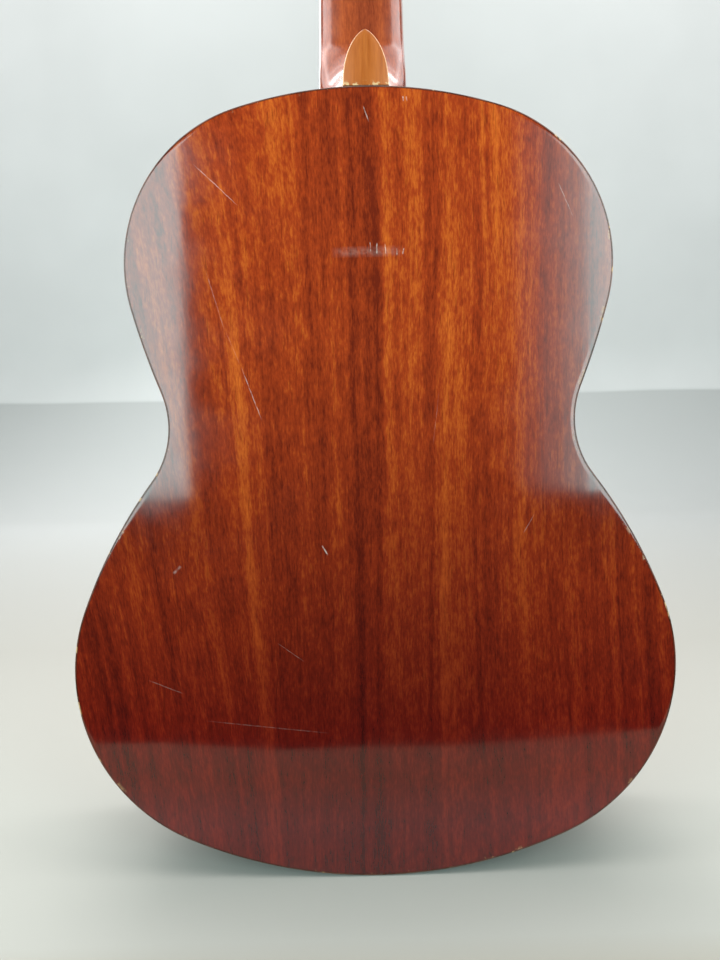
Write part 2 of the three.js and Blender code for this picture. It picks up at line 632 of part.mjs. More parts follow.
// A round cord along straight stretches between points.
function cord(points, radius, sides = 6) {
  const rings = points.map((p, i) => {
    const before = points[Math.max(i - 1, 0)];
    const after = points[Math.min(i + 1, points.length - 1)];
    const into = p.clone().sub(before).normalize();
    const out = after.clone().sub(p).normalize();
    const along = into.add(out).normalize();
    const side = new THREE.Vector3(1, 0, 0).addScaledVector(along, -along.x).normalize();
    const up = along.clone().cross(side);
    return Array.from({ length: sides }, (_, k) => {
      const turn = (2 * Math.PI * (k + 0.5)) / sides;
      const [across, upward] = [radius * Math.cos(turn), radius * Math.sin(turn)];
      return p.clone().addScaledVector(side, across).addScaledVector(up, upward);
    });
  });
  return loft(rings);
}

// A point of the tilted headstock frame, in the guitar's frame.
function fromHead(x, y, s) {
  const [c, n] = [Math.cos(HEAD_TILT), Math.sin(HEAD_TILT)];
  return new THREE.Vector3(x, FRONT_Y + y * c + s * n, NUT_Z + NUT.thick - y * n + s * c);
}

// The first three strings wind on the treble rollers and the others on the bass rollers, the middle strings
// farthest.
const rollerOf = (i) => (i < 3 ? { side: 1, row: i } : { side: -1, row: 5 - i });
const windingX = (row) => 20.5 - 5 * row;

function makeStrings() {
  STRING_DIAMETERS.forEach((diameter, i) => {
    const r = diameter / 2;
    const place = STRING_PLACES[i];
    const { side, row } = rollerOf(i);
    const saddleX = place * SADDLE_SPACING;
    const nutX = place * NUT_SPACING;
    const lift = 0.1;
    const nutY = NUT_TOP_Y + NUT.slotDepth - r - lift;
    const reach = ROLLER.radius + r + 0.25;
    const points = [
      new THREE.Vector3(saddleX, HOLE_Y, SADDLE_Z - 21.5),
      new THREE.Vector3(saddleX, HOLE_Y, SADDLE_Z - 8.6),
      new THREE.Vector3(saddleX, SADDLE_TOP_Y - r - 2 * lift, SADDLE_Z - SADDLE.thick / 2),
      new THREE.Vector3(saddleX, SADDLE_TOP_Y - r - lift, SADDLE_Z + SADDLE.thick / 2),
      new THREE.Vector3(nutX, nutY, NUT_Z),
      new THREE.Vector3(nutX, nutY, NUT_Z + NUT.thick),
      fromHead(side * windingX(row), ROLLER.y - reach, ROLLER_S[row] - 1.2),
    ];
    addMesh(`string_${i + 1}`, cord(points, r), i < 3 ? MATERIALS.nylon : MATERIALS.wound);
  });
}

// ---------------------------------------------------------------- headstock and tuners
const head = new THREE.Group();
head.position.set(0, FRONT_Y, NUT_Z + NUT.thick);
head.rotation.x = -HEAD_TILT;
guitar.add(head);

function headShape() {
  const { half, length, shoulder } = HEAD;
  const shape = new THREE.Shape();
  shape.moveTo(NUT_WIDTH / 2, -6);
  shape.lineTo(NUT_WIDTH / 2, 2);
  shape.quadraticCurveTo(NUT_WIDTH / 2 + 1, shoulder - 4, half, shoulder);
  shape.lineTo(half, 150);
  shape.quadraticCurveTo(half + 0.5, 163, half - 6, 167);
  shape.quadraticCurveTo(half - 14, 170, half - 17, 177);
  shape.quadraticCurveTo(8, length, 0, length);
  shape.quadraticCurveTo(-8, length, 17 - half, 177);
  shape.quadraticCurveTo(14 - half, 170, 6 - half, 167);
  shape.quadraticCurveTo(-half - 0.5, 163, -half, 150);
  shape.lineTo(-half, shoulder);
  shape.quadraticCurveTo(-NUT_WIDTH / 2 - 1, shoulder - 4, -NUT_WIDTH / 2, 2);
  shape.lineTo(-NUT_WIDTH / 2, -6);
  for (const side of [1, -1]) {
    const middle = (side * (SLOT.inner + SLOT.outer)) / 2;
    const round = (SLOT.outer - SLOT.inner) / 2;
    const slot = new THREE.Path();
    slot.absarc(middle, SLOT.end - round, round, 0, Math.PI, false);
    slot.absarc(middle, SLOT.start + round, round, Math.PI, 2 * Math.PI, false);
    shape.holes.push(slot);
  }
  return shape;
}

function makeHeadstock() {
  const reach = 60;
  const below = boxBetween([-reach, -reach, -reach], [reach, reach, GLUE_GAP]).rotateX(HEAD_TILT);
  const segments = 5;
  const front = HEAD.veneer + 0.1;
  const blank = cut(slab(headShape(), front, HEAD.thick, segments), below);
  const holes = ROLLER_S.flatMap((s) =>
    [1, -1].flatMap((side) => {
      const span = (a, b) => (side > 0 ? [a, b] : [-b, -a]);
      return [
        rodAlongX(ROLLER.radius + ROLLER.clearance, ...span(SLOT.outer - 3, HEAD.half + 2), ROLLER.y, s, 12),
        rodAlongX(ROLLER.journal + ROLLER.clearance, ...span(1.2, SLOT.inner + 1), ROLLER.y, s, 8),
      ];
    }),
  );
  addMesh("headstock", cut(blank, ...holes), MATERIALS.neckWood, head);
  const veneer = cut(slab(headShape(), 0, HEAD.veneer, segments), below);
  addMesh("headstock_veneer", veneer, MATERIALS.darkWood, head);
}

// One side's plate, with two ears for each worm and a hole for each roller's spigot. Side is 1 or -1.
function makePlate(name, side) {
  const inner = HEAD.half + GLUE_GAP;
  const outer = inner + PLATE.thick;
  const x = (a, b) => (side > 0 ? [a, b] : [-b, -a]);
  const block = (xs, ys, zs) => boxBetween([xs[0], ys[0], zs[0]], [xs[1], ys[1], zs[1]]);
  const plate = block(x(inner, outer), [PLATE.front, PLATE.back], [PLATE.start, PLATE.end]);
  const ears = [];
  const holes = [];
  const sides = 8;
  for (const s of ROLLER_S) {
    const wormS = s - WORM_OFFSET;
    const earXs = x(outer - 0.2, outer + EAR.reach);
    const earZs = [wormS - EAR.half, wormS + EAR.half];
    for (const y of [EAR.frontY, EAR.backY]) {
      ears.push(block(earXs, [y, y + EAR.thick], earZs));
    }
    const shaftHole = new THREE.CylinderGeometry(EAR.holeR, EAR.holeR, 30, sides);
    holes.push(shaftHole.translate(side * DRIVE_X, ROLLER.y, wormS));
    holes.push(rodAlongX(ROLLER.spigot + ROLLER.clearance, ...x(inner - 1, outer + 1), ROLLER.y, s, sides));
  }
  addMesh(name, cut(join(plate, ...ears), ...holes), MATERIALS.steel, head);
}

// The worm: a shaft along Y with a single thread in its middle, which meets the wheel at y 0.
function wormGeometry() {
  const { shaftR, pitchR, turns, threadShare, steps } = WORM;
  const start = -(ROLLER.y - EAR.frontY) - 1;
  const end = BUTTON.start - ROLLER.y + 3;
  const middle = (start + end) / 2;
  const shaft = new THREE.CylinderGeometry(shaftR, shaftR, end - start, 10).translate(0, middle, 0);
  const crest = pitchR + WHEEL.addendum;
  const root = shaftR - 0.3;
  const [wide, narrow] = [WORM_PITCH * threadShare * 0.78, WORM_PITCH * threadShare * 0.3];
  const count = Math.round(turns * steps);
  const rings = Array.from({ length: count + 1 }, (_, i) => {
    const turn = (i / steps - turns / 2) * 2 * Math.PI;
    const rise = (turn / (2 * Math.PI)) * WORM_PITCH;
    const out = new THREE.Vector3(Math.sin(turn), 0, Math.cos(turn));
    const section = [[root, -wide], [crest, -narrow], [crest, narrow], [root, wide]];
    return section.map(([r, h]) => out.clone().multiplyScalar(r).setY(rise + h));
  });
  return join(shaft, loft(rings));
}

// The worm wheel: 14 teeth round the X axis, slanted to the worm's lead.
function wheelGeometry() {
  const { teeth, pitchR, addendum, dedendum, thick, toothShare } = WHEEL;
  const pitchAngle = (2 * Math.PI) / teeth;
  const [tip, foot] = [toothShare * 0.22, toothShare * 0.72];
  const [root, crest] = [pitchR - dedendum, pitchR + addendum];
  const shape = new THREE.Shape();
  const outline = [];
  for (let i = 0; i < teeth; i++) {
    const corners = [[root, -foot], [crest, -tip], [crest, tip], [root, foot]];
    corners.forEach(([r, share]) => {
      const a = (i + 0.5 + share) * pitchAngle; // a gap, not a tooth, faces the worm
      outline.push(new THREE.Vector2(r * Math.cos(a), r * Math.sin(a)));
    });
  }
  shape.setFromPoints(outline);
  const bore = ROLLER.spigot + GLUE_GAP;
  shape.holes.push(new THREE.Path().absarc(0, 0, bore, 0, 2 * Math.PI, true));
  const wheel = new THREE.ExtrudeGeometry(shape, { depth: thick, bevelEnabled: false, curveSegments: 6 });
  const slant = WORM_PITCH / (2 * Math.PI * WORM.pitchR) / pitchR; // radians of turn for each mm of thickness
  const p = wheel.attributes.position;
  for (let i = 0; i < p.count; i++) {
    const turned = new THREE.Vector3().fromBufferAttribute(p, i);
    turned.z -= thick / 2;
    turned.applyAxisAngle(new THREE.Vector3(0, 0, 1), turned.z * slant);
    p.setXYZ(i, turned.x, turned.y, turned.z);
  }
  return wheel.rotateY(Math.PI / 2);
}

function rollerGeometry() {
  const profile = [
    [0, 1.5], [ROLLER.journal, 1.5], [ROLLER.journal, SLOT.inner + 0.4], [ROLLER.radius, SLOT.inner + 0.4],
    [ROLLER.radius, HEAD.half], [ROLLER.spigot, HEAD.half], [ROLLER.spigot, DRIVE_X + WHEEL.thick / 2 + 0.6],
    [0, DRIVE_X + WHEEL.thick / 2 + 0.6],
  ];
  return new THREE.LatheGeometry(profile.map(([r, h]) => new THREE.Vector2(r, h)), 10).rotateZ(-Math.PI / 2);
}

function buttonGeometry() {
  const { length, wide, flat } = BUTTON;
  const profile = [[0, 0], [0.5, 0], [0.95, 0.4], [1, 0.65], [0.75, 0.93], [0, 1]];
  const solid = new THREE.LatheGeometry(profile.map(([r, h]) => new THREE.Vector2(r * wide, h * length)), 10)
    .scale(flat / wide, 1, 1);
  const boreR = WORM.shaftR + GLUE_GAP;
  return cut(solid, new THREE.CylinderGeometry(boreR, boreR, 8, 8));
}

// The whole set of six. Each side's rollers run towards its own wall, and the bass side is the treble side
// mirrored.
function makeTuners() {
  const wheel = wheelGeometry();
  const worm = wormGeometry();
  const roller = rollerGeometry();
  const button = buttonGeometry();
  for (const [sideName, side] of [["treble", 1], ["bass", -1]]) {
    makePlate(`tuner_plate_${sideName}`, side);
    ROLLER_S.forEach((s, row) => {
      const number = side > 0 ? row + 1 : 6 - row; // the string that this tuner holds
      const place = (mesh, x, y, along) => {
        mesh.position.set(side * x, y, along);
        mesh.scale.x = side;
      };
      const wormS = s - WORM_OFFSET;
      const { pearl, brass, steel } = MATERIALS;
      place(addMesh(`roller_${number}`, roller, pearl, head), 0, ROLLER.y, s);
      place(addMesh(`worm_wheel_${number}`, wheel, brass, head), DRIVE_X, ROLLER.y, s);
      place(addMesh(`worm_${number}`, worm, steel, head), DRIVE_X, ROLLER.y, wormS);
      place(addMesh(`button_${number}`, button, pearl, head), DRIVE_X, BUTTON.start, wormS);
    });
  }
}

// ---------------------------------------------------------------- assembly
makeSoundboard();
makeBack();
makeSides();
makeBlocks();
makeBars();
makeFan();
makeNeck();
makeHeelCap();
makeFingerboard();
makeNut();
makeBridge();
makeStrings();
makeHeadstock();
makeTuners();

export default guitar;
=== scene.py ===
# The appearance of the classical guitar: finer surfaces over the CAD frame, and a material for every piece.
import math

import bmesh
import bpy
from mathutils import Matrix, Vector


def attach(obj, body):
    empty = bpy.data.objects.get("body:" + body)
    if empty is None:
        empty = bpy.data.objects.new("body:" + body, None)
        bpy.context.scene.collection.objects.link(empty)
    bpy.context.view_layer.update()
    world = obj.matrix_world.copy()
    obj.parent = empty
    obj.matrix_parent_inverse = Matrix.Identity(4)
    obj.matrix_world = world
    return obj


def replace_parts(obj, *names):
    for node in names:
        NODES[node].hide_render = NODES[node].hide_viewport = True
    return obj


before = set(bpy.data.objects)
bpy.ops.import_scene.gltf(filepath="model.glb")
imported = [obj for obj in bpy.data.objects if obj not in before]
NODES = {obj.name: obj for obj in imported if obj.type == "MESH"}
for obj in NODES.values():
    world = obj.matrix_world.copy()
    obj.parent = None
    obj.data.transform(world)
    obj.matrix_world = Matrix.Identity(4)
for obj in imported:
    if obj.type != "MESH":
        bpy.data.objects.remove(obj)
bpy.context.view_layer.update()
MM = 0.001

# ------------------------------------------------------------------ dimensions shared with the frame, in mm
BODY_LENGTH, FRONT_Y = 477.0, -48.5
BODY_ARCS = [(271, 16.6), (94, 88.3), (461, 6.4), (54.3, -58.9), (320, 16.4), (114, 87.4)]
BACK_Y_TAIL, BACK_Y_HEEL = 48.5, 43.5
BACK_CROSS_RADIUS, BACK_LONG_RISE = 4572.0, 2.0
THICK, SIDE_THICK = 2.6, 2.2
NUT_Z = BODY_LENGTH + 325.0
SADDLE_Z = NUT_Z - 650.0
NUT_WIDTH, JOIN_WIDTH = 52.0, 61.5
HEAD_START = NUT_Z + 5.0
TILT = math.radians(15)
PLATE_OUT, DRIVE_X = 32.5, 36.2
ROLLER_Y, ROLLER_RADIUS, WORM_BELOW = 10.5, 5.0, 7.8
ROLLER_S = [45, 80, 115]


# ------------------------------------------------------------------ shapes
def half_outline(inset=0.0, step=3.0):
    """Points (x, z) of half the box, from the middle of the top to the tail, moved inwards by inset."""

    def walk(arcs, inset):
        x = drop = heading = 0.0
        points = [(x, drop)]

        def arc(radius, turn):
            nonlocal x, drop, heading
            sign = math.copysign(1, turn)
            r = radius - sign * inset
            count = max(4, math.ceil(radius * abs(turn) / step))
            for _ in range(count):
                after = heading + turn / count
                x += sign * r * (math.sin(after) - math.sin(heading))
                drop += sign * r * (math.cos(after) - math.cos(heading))
                heading = after
                points.append((x, drop))

        for radius, turn in arcs:
            arc(radius, turn)
        rest = math.pi - heading
        arc(x / math.sin(rest) + inset, rest)
        return points

    arcs = [(r, math.radians(a)) for r, a in BODY_ARCS]
    scale = BODY_LENGTH / -walk(arcs, 0)[-1][1]
    points = walk([(r * scale, a) for r, a in arcs], inset)
    last = len(points) - 1
    return [(x if 0 < i < last else 0.0, BODY_LENGTH - inset + d) for i, (x, d) in enumerate(points)]


def back_y(x, z):
    """The outer face of the back, arched both ways."""
    along = z / BODY_LENGTH
    line = BACK_Y_TAIL + (BACK_Y_HEEL - BACK_Y_TAIL) * along
    return line + BACK_LONG_RISE * (1 - (2 * along - 1) ** 2) - x * x / (2 * BACK_CROSS_RADIUS)


def mesh(name, verts, faces, material, body="guitar", slot=None, smooth=35, tilted=False):
    """A piece from points in millimetres; smooth is the angle above which an edge stays sharp."""
    data = bpy.data.meshes.new(name)
    data.from_pydata([tuple(c * MM for c in v) for v in verts], [], faces)
    piece = bpy.data.objects.new(name, data)
    bpy.context.scene.collection.objects.link(piece)
    bm = bmesh.new()
    bm.from_mesh(data)
    bmesh.ops.remove_doubles(bm, verts=bm.verts, dist=1e-6)
    bmesh.ops.dissolve_degenerate(bm, edges=bm.edges, dist=1e-7)
    bmesh.ops.recalc_face_normals(bm, faces=bm.faces)
    bm.to_mesh(data)
    bm.free()
    soften(piece, smooth)
    data.materials.append(material)
    if tilted:
        piece.data.transform(HEAD_MATRIX)
    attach(piece, body)
    return piece


def soften(piece, angle):
    """Smooth shading, broken at edges sharper than angle."""
    bm = bmesh.new()
    bm.from_mesh(piece.data)
    for face in bm.faces:
        face.smooth = True
    for edge in bm.edges:
        edge.smooth = len(edge.link_faces) == 2 and edge.calc_face_angle(0) < math.radians(angle)
    bm.to_mesh(piece.data)
    bm.free()


def mark(piece, name, value):
    """Stores value(x, y, z), with the place in millimetres, on each point of a piece."""
    attribute = piece.data.attributes.new(name, "FLOAT", "POINT")
    for vertex in piece.data.vertices:
        attribute.data[vertex.index].value = value(*(c / MM for c in vertex.co))


def loft(rings, closed=False):
    """A skin over rings with equal counts, capped at both ends unless it closes on itself."""
    n, count = len(rings[0]), len(rings)
    verts, faces = [p for ring in rings for p in ring], []
    for i in range(count if closed else count - 1):
        for j in range(n):
            a, b = i * n + j, i * n + (j + 1) % n
            c, d = ((i + 1) % count) * n + (j + 1) % n, ((i + 1) % count) * n + j
            faces.append((a, b, c, d))
    if not closed:
        faces.append(tuple(range(n)))
        faces.append(tuple(range((count - 1) * n, count * n)))
    return verts, faces


def tube(points, radius, sides=12):
    """A round cord through points."""
    points = [Vector(p) for p in points]
    rings, side = [], Vector((1, 0, 0.01))
    for i, p in enumerate(points):
        along = (points[min(i + 1, len(points) - 1)] - points[max(i - 1, 0)]).normalized()
        side = side - along * side.dot(along)
        side.normalize()
        up = along.cross(side)
        turn = [2 * math.pi * k / sides for k in range(sides)]
        rings.append([tuple(p + radius * (side * math.cos(t) + up * math.sin(t))) for t in turn])
    return loft(rings)


def lathe(profile, sides=24, axis="Y", at=(0, 0, 0)):
    """A turned piece from (radius, height) pairs that start and end on the axis."""
    rings = []
    for k in range(sides):
        t = 2 * math.pi * k / sides
        for_axis = {
            "Y": lambda r, h: (r * math.sin(t), h, r * math.cos(t)),
            "X": lambda r, h: (h, r * math.cos(t), r * math.sin(t)),
        }[axis]
        rings.append([tuple(a + b for a, b in zip(for_axis(r, h), at)) for r, h in profile])
    n = len(profile)
    faces = []
    for k in range(sides):
        here, after = k * n, (k + 1) % sides * n
        for j in range(n - 1):
            faces.append((here + j, here + j + 1, after + j + 1, after + j))
    return [p for ring in rings for p in ring], faces


def head_point(x, y, s):
    """A point of the tilted headstock: across, in from its face, and along it from the nut."""
    c, n = math.cos(TILT), math.sin(TILT)
    return (x, FRONT_Y + y * c + s * n, HEAD_START - y * n + s * c)


HEAD_MATRIX = Matrix.Translation((0, FRONT_Y * MM, HEAD_START * MM)) @ Matrix.Rotation(-TILT, 4, "X")


# ------------------------------------------------------------------ materials
class Tree:
    """A short way to write a node tree."""

    def __init__(self, name):
        self.material = bpy.data.materials.new(name)
        self.material.use_nodes = True
        self.nodes, self.links = self.material.node_tree.nodes, self.material.node_tree.links
        self.shader = self.nodes["Principled BSDF"]
        self.place = self.nodes.new("ShaderNodeTexCoord").outputs["Object"]

    def put(self, socket, value):
        """Links a socket to another, or sets its value."""
        if isinstance(value, bpy.types.NodeSocket):
            self.links.new(value, socket)
        elif value is not None:
            socket.default_value = value

    def node(self, kind, out=0, settings=None, **inputs):
        """A node's output; inputs are named, or i and their number."""
        node = self.nodes.new("ShaderNode" + kind)
        for key, value in (settings or {}).items():
            setattr(node, key, value)
        for key, value in inputs.items():
            numbered = key[0] == "i" and key[1:].isdigit()
            self.put(node.inputs[int(key[1:]) if numbered else key], value)
        return node.outputs[out]

    def math(self, operation, a, b=None, clamp=False):
        return self.node("Math", settings={"operation": operation, "use_clamp": clamp}, i0=a, i1=b)

    def axis(self, number, vector=None):
        return self.node("SeparateXYZ", out=number, i0=vector or self.place)

    def attribute(self, name):
        return self.node("Attribute", out=2, settings={"attribute_name": name})

    def between(self, value, start, end, low, high):
        """Goes from low at start to high at end."""
        return self.node("MapRange", i0=value, i1=start, i2=end, i3=low, i4=high)

    def stretch(self, scale, vector=None):
        return self.node("Mapping", Vector=vector or self.place, Scale=scale)

    def noise(self, vector, detail=2.0, roughness=0.5, distortion=0.0):
        return self.node("TexNoise", Vector=vector, Scale=1.0, Detail=detail, Roughness=roughness,
                         Distortion=distortion)

    def ramp(self, factor, stops, ease="LINEAR"):
        node = self.nodes.new("ShaderNodeValToRGB")
        node.color_ramp.interpolation = ease
        while len(node.color_ramp.elements) < len(stops):
            node.color_ramp.elements.new(0.5)
        for element, (position, color) in zip(node.color_ramp.elements, stops):
            element.position = position
            element.color = (*color, 1) if isinstance(color, tuple) else (color, color, color, 1)
        self.put(node.inputs[0], factor)
        return node.outputs[0]

    def mix(self, factor, a, b, blend="MIX"):
        node = self.nodes.new("ShaderNodeMix")
        node.data_type, node.blend_type = "RGBA", blend
        self.put(node.inputs[0], factor)
        self.put(node.inputs[6], (*a, 1) if isinstance(a, tuple) else a)
        self.put(node.inputs[7], (*b, 1) if isinstance(b, tuple) else b)
        return node.outputs[2]

    def finish(self, color, rough, bump=None, strength=0.1, distance=0.0002, **sockets):
        """Sets the surface: its colour, roughness, bumps, and other sockets by name with _ for a space."""
        self.put(self.shader.inputs["Base Color"], (*color, 1) if isinstance(color, tuple) else color)
        self.put(self.shader.inputs["Roughness"], rough)
        if bump is not None:
            normal = self.node("Bump", Height=bump, Strength=strength, Distance=distance)
            self.put(self.shader.inputs["Normal"], normal)
        for key, value in sockets.items():
            self.shader.inputs[key.replace("_", " ")].default_value = value
        return self.material


def ribbon_wood(name, dark, mid, bright, bands, lacquer=0.06, pore=0.35, fade=True, arc=False):
    """Ribbon-striped wood with its grain up Z. bands are (place, lightness) across the width."""
    t = Tree(name)
    wave = t.noise(t.stretch((6, 6, 2.2)), detail=2)
    sway = t.math("MULTIPLY", t.math("SUBTRACT", wave, 0.5), 0.035)
    x, y, z = t.axis(0), t.axis(1), t.axis(2)
    lean = t.between(x, 0.005, 0.075, 0.0, 1.15)
    lean = t.math("ADD", t.math("MULTIPLY", lean, t.math("SUBTRACT", 0.24, z)), 1.0)
    x = t.math("ADD", t.math("MULTIPLY", x, lean), sway)
    broad = t.ramp(t.between(x, -BAND_REACH, BAND_REACH, 0.0, 1.0), bands, ease="EASE")
    if arc:
        # bent wood: its length runs round the outline, its width from front to back
        warped = t.node("CombineXYZ", i0=t.math("ADD", y, sway), i1=0.0, i2=t.attribute("arc"))
    else:
        warped = t.node("CombineXYZ", i0=x, i1=y, i2=z)

    def grain(scale, detail=3, **kw):
        return t.noise(t.stretch(scale, vector=warped), detail=detail, **kw)

    fine = grain((420, 300, 6), roughness=0.6)
    parts = [(broad, 0.3), (grain((85, 60, 1.6), roughness=0.55), 0.46), (grain((190, 120, 2.4)), 0.4),
             (fine, 0.27), (grain((1100, 900, 250), roughness=0.6), 0.56),
             (grain((260, 200, 75), distortion=0.4), 0.4), (grain((28, 28, 9)), 0.16)]
    tone = 0.5
    for part, share in parts:
        tone = t.math("ADD", t.math("MULTIPLY", t.math("SUBTRACT", part, 0.5), share), tone)
    color = t.ramp(tone, [(0.26, dark), (0.52, mid), (0.84, bright)])
    if fade:
        # painted shade: the wood is darker and redder towards the tail, a fall-off of light painted into its
        # colour
        color = t.mix(t.between(z, 0.08, 0.33, 1.0, 0.0), color, (0.38, 0.12, 0.3), blend="MULTIPLY")
    flecks = t.noise(t.stretch((1500, 1500, 75)), detail=1)
    pores = t.ramp(flecks, [(0.3, 1.0), (0.39, 0.0)])
    color = t.mix(t.math("MULTIPLY", pores, pore), color, tuple(c * 0.35 for c in dark))
    sheen = t.noise(t.stretch((30, 30, 30)), detail=4)
    rough = t.ramp(sheen, [(0.3, lacquer), (0.75, lacquer + 0.09)])
    return t, color, rough, fine


def lacquered(name, dark, mid, bright, bands, coat=0.5, soft=0.08, **kw):
    """Ribbon-striped wood under lacquer; soft is how blurred its reflections are."""
    t, color, rough, fine = ribbon_wood(name, dark, mid, bright, bands, **kw)
    return t.finish(color, rough, fine, strength=0.06, distance=0.0001, IOR=1.5,
                    Coat_Weight=coat, Coat_Roughness=soft)


def scratch_mask(t, marks):
    """A mask of thin straight scratches, each from (x, z) to (x, z), its width and its strength, in mm."""
    total = None
    x, z = t.axis(0), t.axis(2)
    jitter = t.math("SUBTRACT", t.noise(t.stretch((400, 400, 400)), detail=2), 0.5)
    rough_edge = t.math("MULTIPLY", jitter, 0.0006)
    for x0, z0, x1, z1, width, depth in marks:
        dx, dz = (x1 - x0) * MM, (z1 - z0) * MM
        length = math.hypot(dx, dz)
        ux, uz = dx / length, dz / length
        px, pz = t.math("SUBTRACT", x, x0 * MM), t.math("SUBTRACT", z, z0 * MM)
        along = t.math("ADD", t.math("MULTIPLY", px, ux), t.math("MULTIPLY", pz, uz))
        off = t.math("SUBTRACT", t.math("MULTIPLY", px, uz), t.math("MULTIPLY", pz, ux))
        off = t.math("ABSOLUTE", t.math("ADD", off, rough_edge))
        near = t.between(off, width * MM * 0.2, width * MM * 1.1, depth, 0.0)
        past = t.math("ABSOLUTE", t.math("SUBTRACT", along, length / 2))
        one = t.math("MULTIPLY", near, t.between(past, length * 0.3, length * 0.5, 1.0, 0.0))
        total = one if total is None else t.math("MAXIMUM", total, one)
    broken = t.ramp(t.noise(t.stretch((330, 330, 330)), detail=3), [(0.36, 0.25), (0.56, 1.0)])
    return t.math("MULTIPLY", total, broken)


# bands across the back, from BAND_REACH on the bass side (0) to BAND_REACH on the treble side (1)
BAND_REACH = 0.19
BACK_BANDS = [(0.0, 0.4), (0.25, 0.5), (0.295, 0.62), (0.33, 0.46), (0.378, 0.8), (0.41, 0.5),
              (0.44, 0.62), (0.475, 0.3), (0.55, 0.24), (0.575, 0.4), (0.608, 0.8), (0.645, 0.46),
              (0.69, 0.74), (0.725, 0.48), (0.85, 0.46), (1.0, 0.36)]
SCRATCHES = [
    # long faint ones on the treble side of the upper bout
    (102, 435, 76, 410, 0.3, 0.42), (96, 373, 86, 338, 0.35, 0.2), (85.5, 338, 77.5, 318, 0.3, 0.12),
    (77, 317, 65.5, 285, 0.35, 0.45),
    # nicks below the waist and beside the heel
    (31.6, 209.5, 28.1, 203.3, 0.5, 0.8), (122, 193.7, 117, 198.5, 1.0, 0.28),
    (1.9, 465.4, -1.3, 455.9, 0.35, 0.75), (-21.1, 470.5, -21.6, 467.4, 0.5, 0.9),
    (-23.1, 470.5, -23.6, 467.4, 0.4, 0.8),
    # a row of short ticks over a wide rubbed streak
    (-0.6, 388, -1.1, 381.7, 0.35, 0.7), (-4.7, 387.4, -4.6, 380.5, 0.4, 0.8),
    (-9.4, 386.7, -9.9, 380.5, 0.35, 0.8), (-16.3, 384.3, -16.3, 379.8, 0.4, 0.6),
    (-20.4, 384.3, -19.8, 380.3, 0.4, 0.6), (22.8, 382.2, -21, 382.5, 3.2, 0.13),
    # faint ones elsewhere
    (-111.6, 420.7, -120.4, 400.8, 0.3, 0.35), (-40, 300, -36, 268, 0.3, 0.12),
    (106, 102, 29.5, 92.8, 0.4, 0.1), (60, 150, 44, 138, 0.3, 0.16), (-90, 214, -97, 226, 0.35, 0.2),
    (140, 128, 118, 119, 0.4, 0.14),
]


def back_material():
    """The back's wood: banded, with painted shade at its upper flanks and low in its middle, scratched and
    worn at the rim.
    """
    t, color, rough, fine = ribbon_wood(
        "back_lacquered_sapele", (0.135, 0.013, 0.004), (0.32, 0.036, 0.007), (0.63, 0.13, 0.015), BACK_BANDS)
    aside, z = t.math("ABSOLUTE", t.axis(0)), t.axis(2)
    # painted shade: the back is darker at its flanks in its upper half
    flanks = t.math("MULTIPLY", t.between(aside, 0.085, 0.125, 0.0, 1.0), t.between(z, 0.19, 0.24, 0.0, 1.0))
    color = t.mix(flanks, color, (0.6, 0.55, 0.7), blend="MULTIPLY")
    # painted shade: the back is darker low in its middle, towards the tail
    near_middle, near_tail = t.between(aside, 0.04, 0.13, 1.0, 0.0), t.between(z, 0.12, 0.27, 1.0, 0.0)
    painted_middle_shade = t.math("MULTIPLY", near_middle, near_tail)
    color = t.mix(painted_middle_shade, color, (0.72, 0.68, 0.8), blend="MULTIPLY")
    scratches = scratch_mask(t, SCRATCHES)
    haze = t.ramp(t.noise(t.stretch((9, 9, 14)), detail=5, roughness=0.7), [(0.52, 0.0), (0.75, 1.0)])
    color = t.mix(t.math("MULTIPLY", scratches, 0.8), color, (0.72, 0.55, 0.48))
    rim = t.attribute("rim")
    worn = t.noise(t.stretch((120, 120, 55)), detail=4, roughness=0.65)
    worn = t.ramp(worn, [(0.61, 0.0), (0.645, 1.0)])
    edge = t.math("MULTIPLY", t.ramp(rim, [(0.0, 1.0), (0.4, 0.0)]), worn)
    color = t.mix(t.ramp(rim, [(0.08, 0.6), (0.24, 0.0)]), color, (0.05, 0.01, 0.005))
    color = t.mix(edge, color, (0.42, 0.22, 0.1))
    rough = t.math("ADD", rough, t.math("MULTIPLY", haze, 0.06))
    rough = t.math("ADD", rough, t.math("MULTIPLY", t.math("MAXIMUM", scratches, edge), 0.4), clamp=True)
    height = t.math("SUBTRACT", t.math("MULTIPLY", fine, 0.3), t.math("MAXIMUM", scratches, edge))
    return t.finish(color, rough, height, strength=0.12, distance=0.0003, IOR=1.5,
                    Coat_Weight=0.4, Coat_Roughness=0.08)


def plain_wood(name, dark, light, rough):
    """Bare or oiled wood with a fine straight grain."""
    t = Tree(name)
    grain = t.noise(t.stretch((260, 260, 5)), detail=4, roughness=0.6, distortion=0.3)
    fine = t.noise(t.stretch((1040, 1040, 20)), detail=2)
    tone = t.math("ADD", t.math("MULTIPLY", grain, 0.75), t.math("MULTIPLY", fine, 0.25))
    color = t.ramp(tone, [(0.3, dark), (0.68, light)])
    return t.finish(color, t.ramp(grain, [(0.3, rough[0]), (0.7, rough[1])]), tone, strength=0.25)


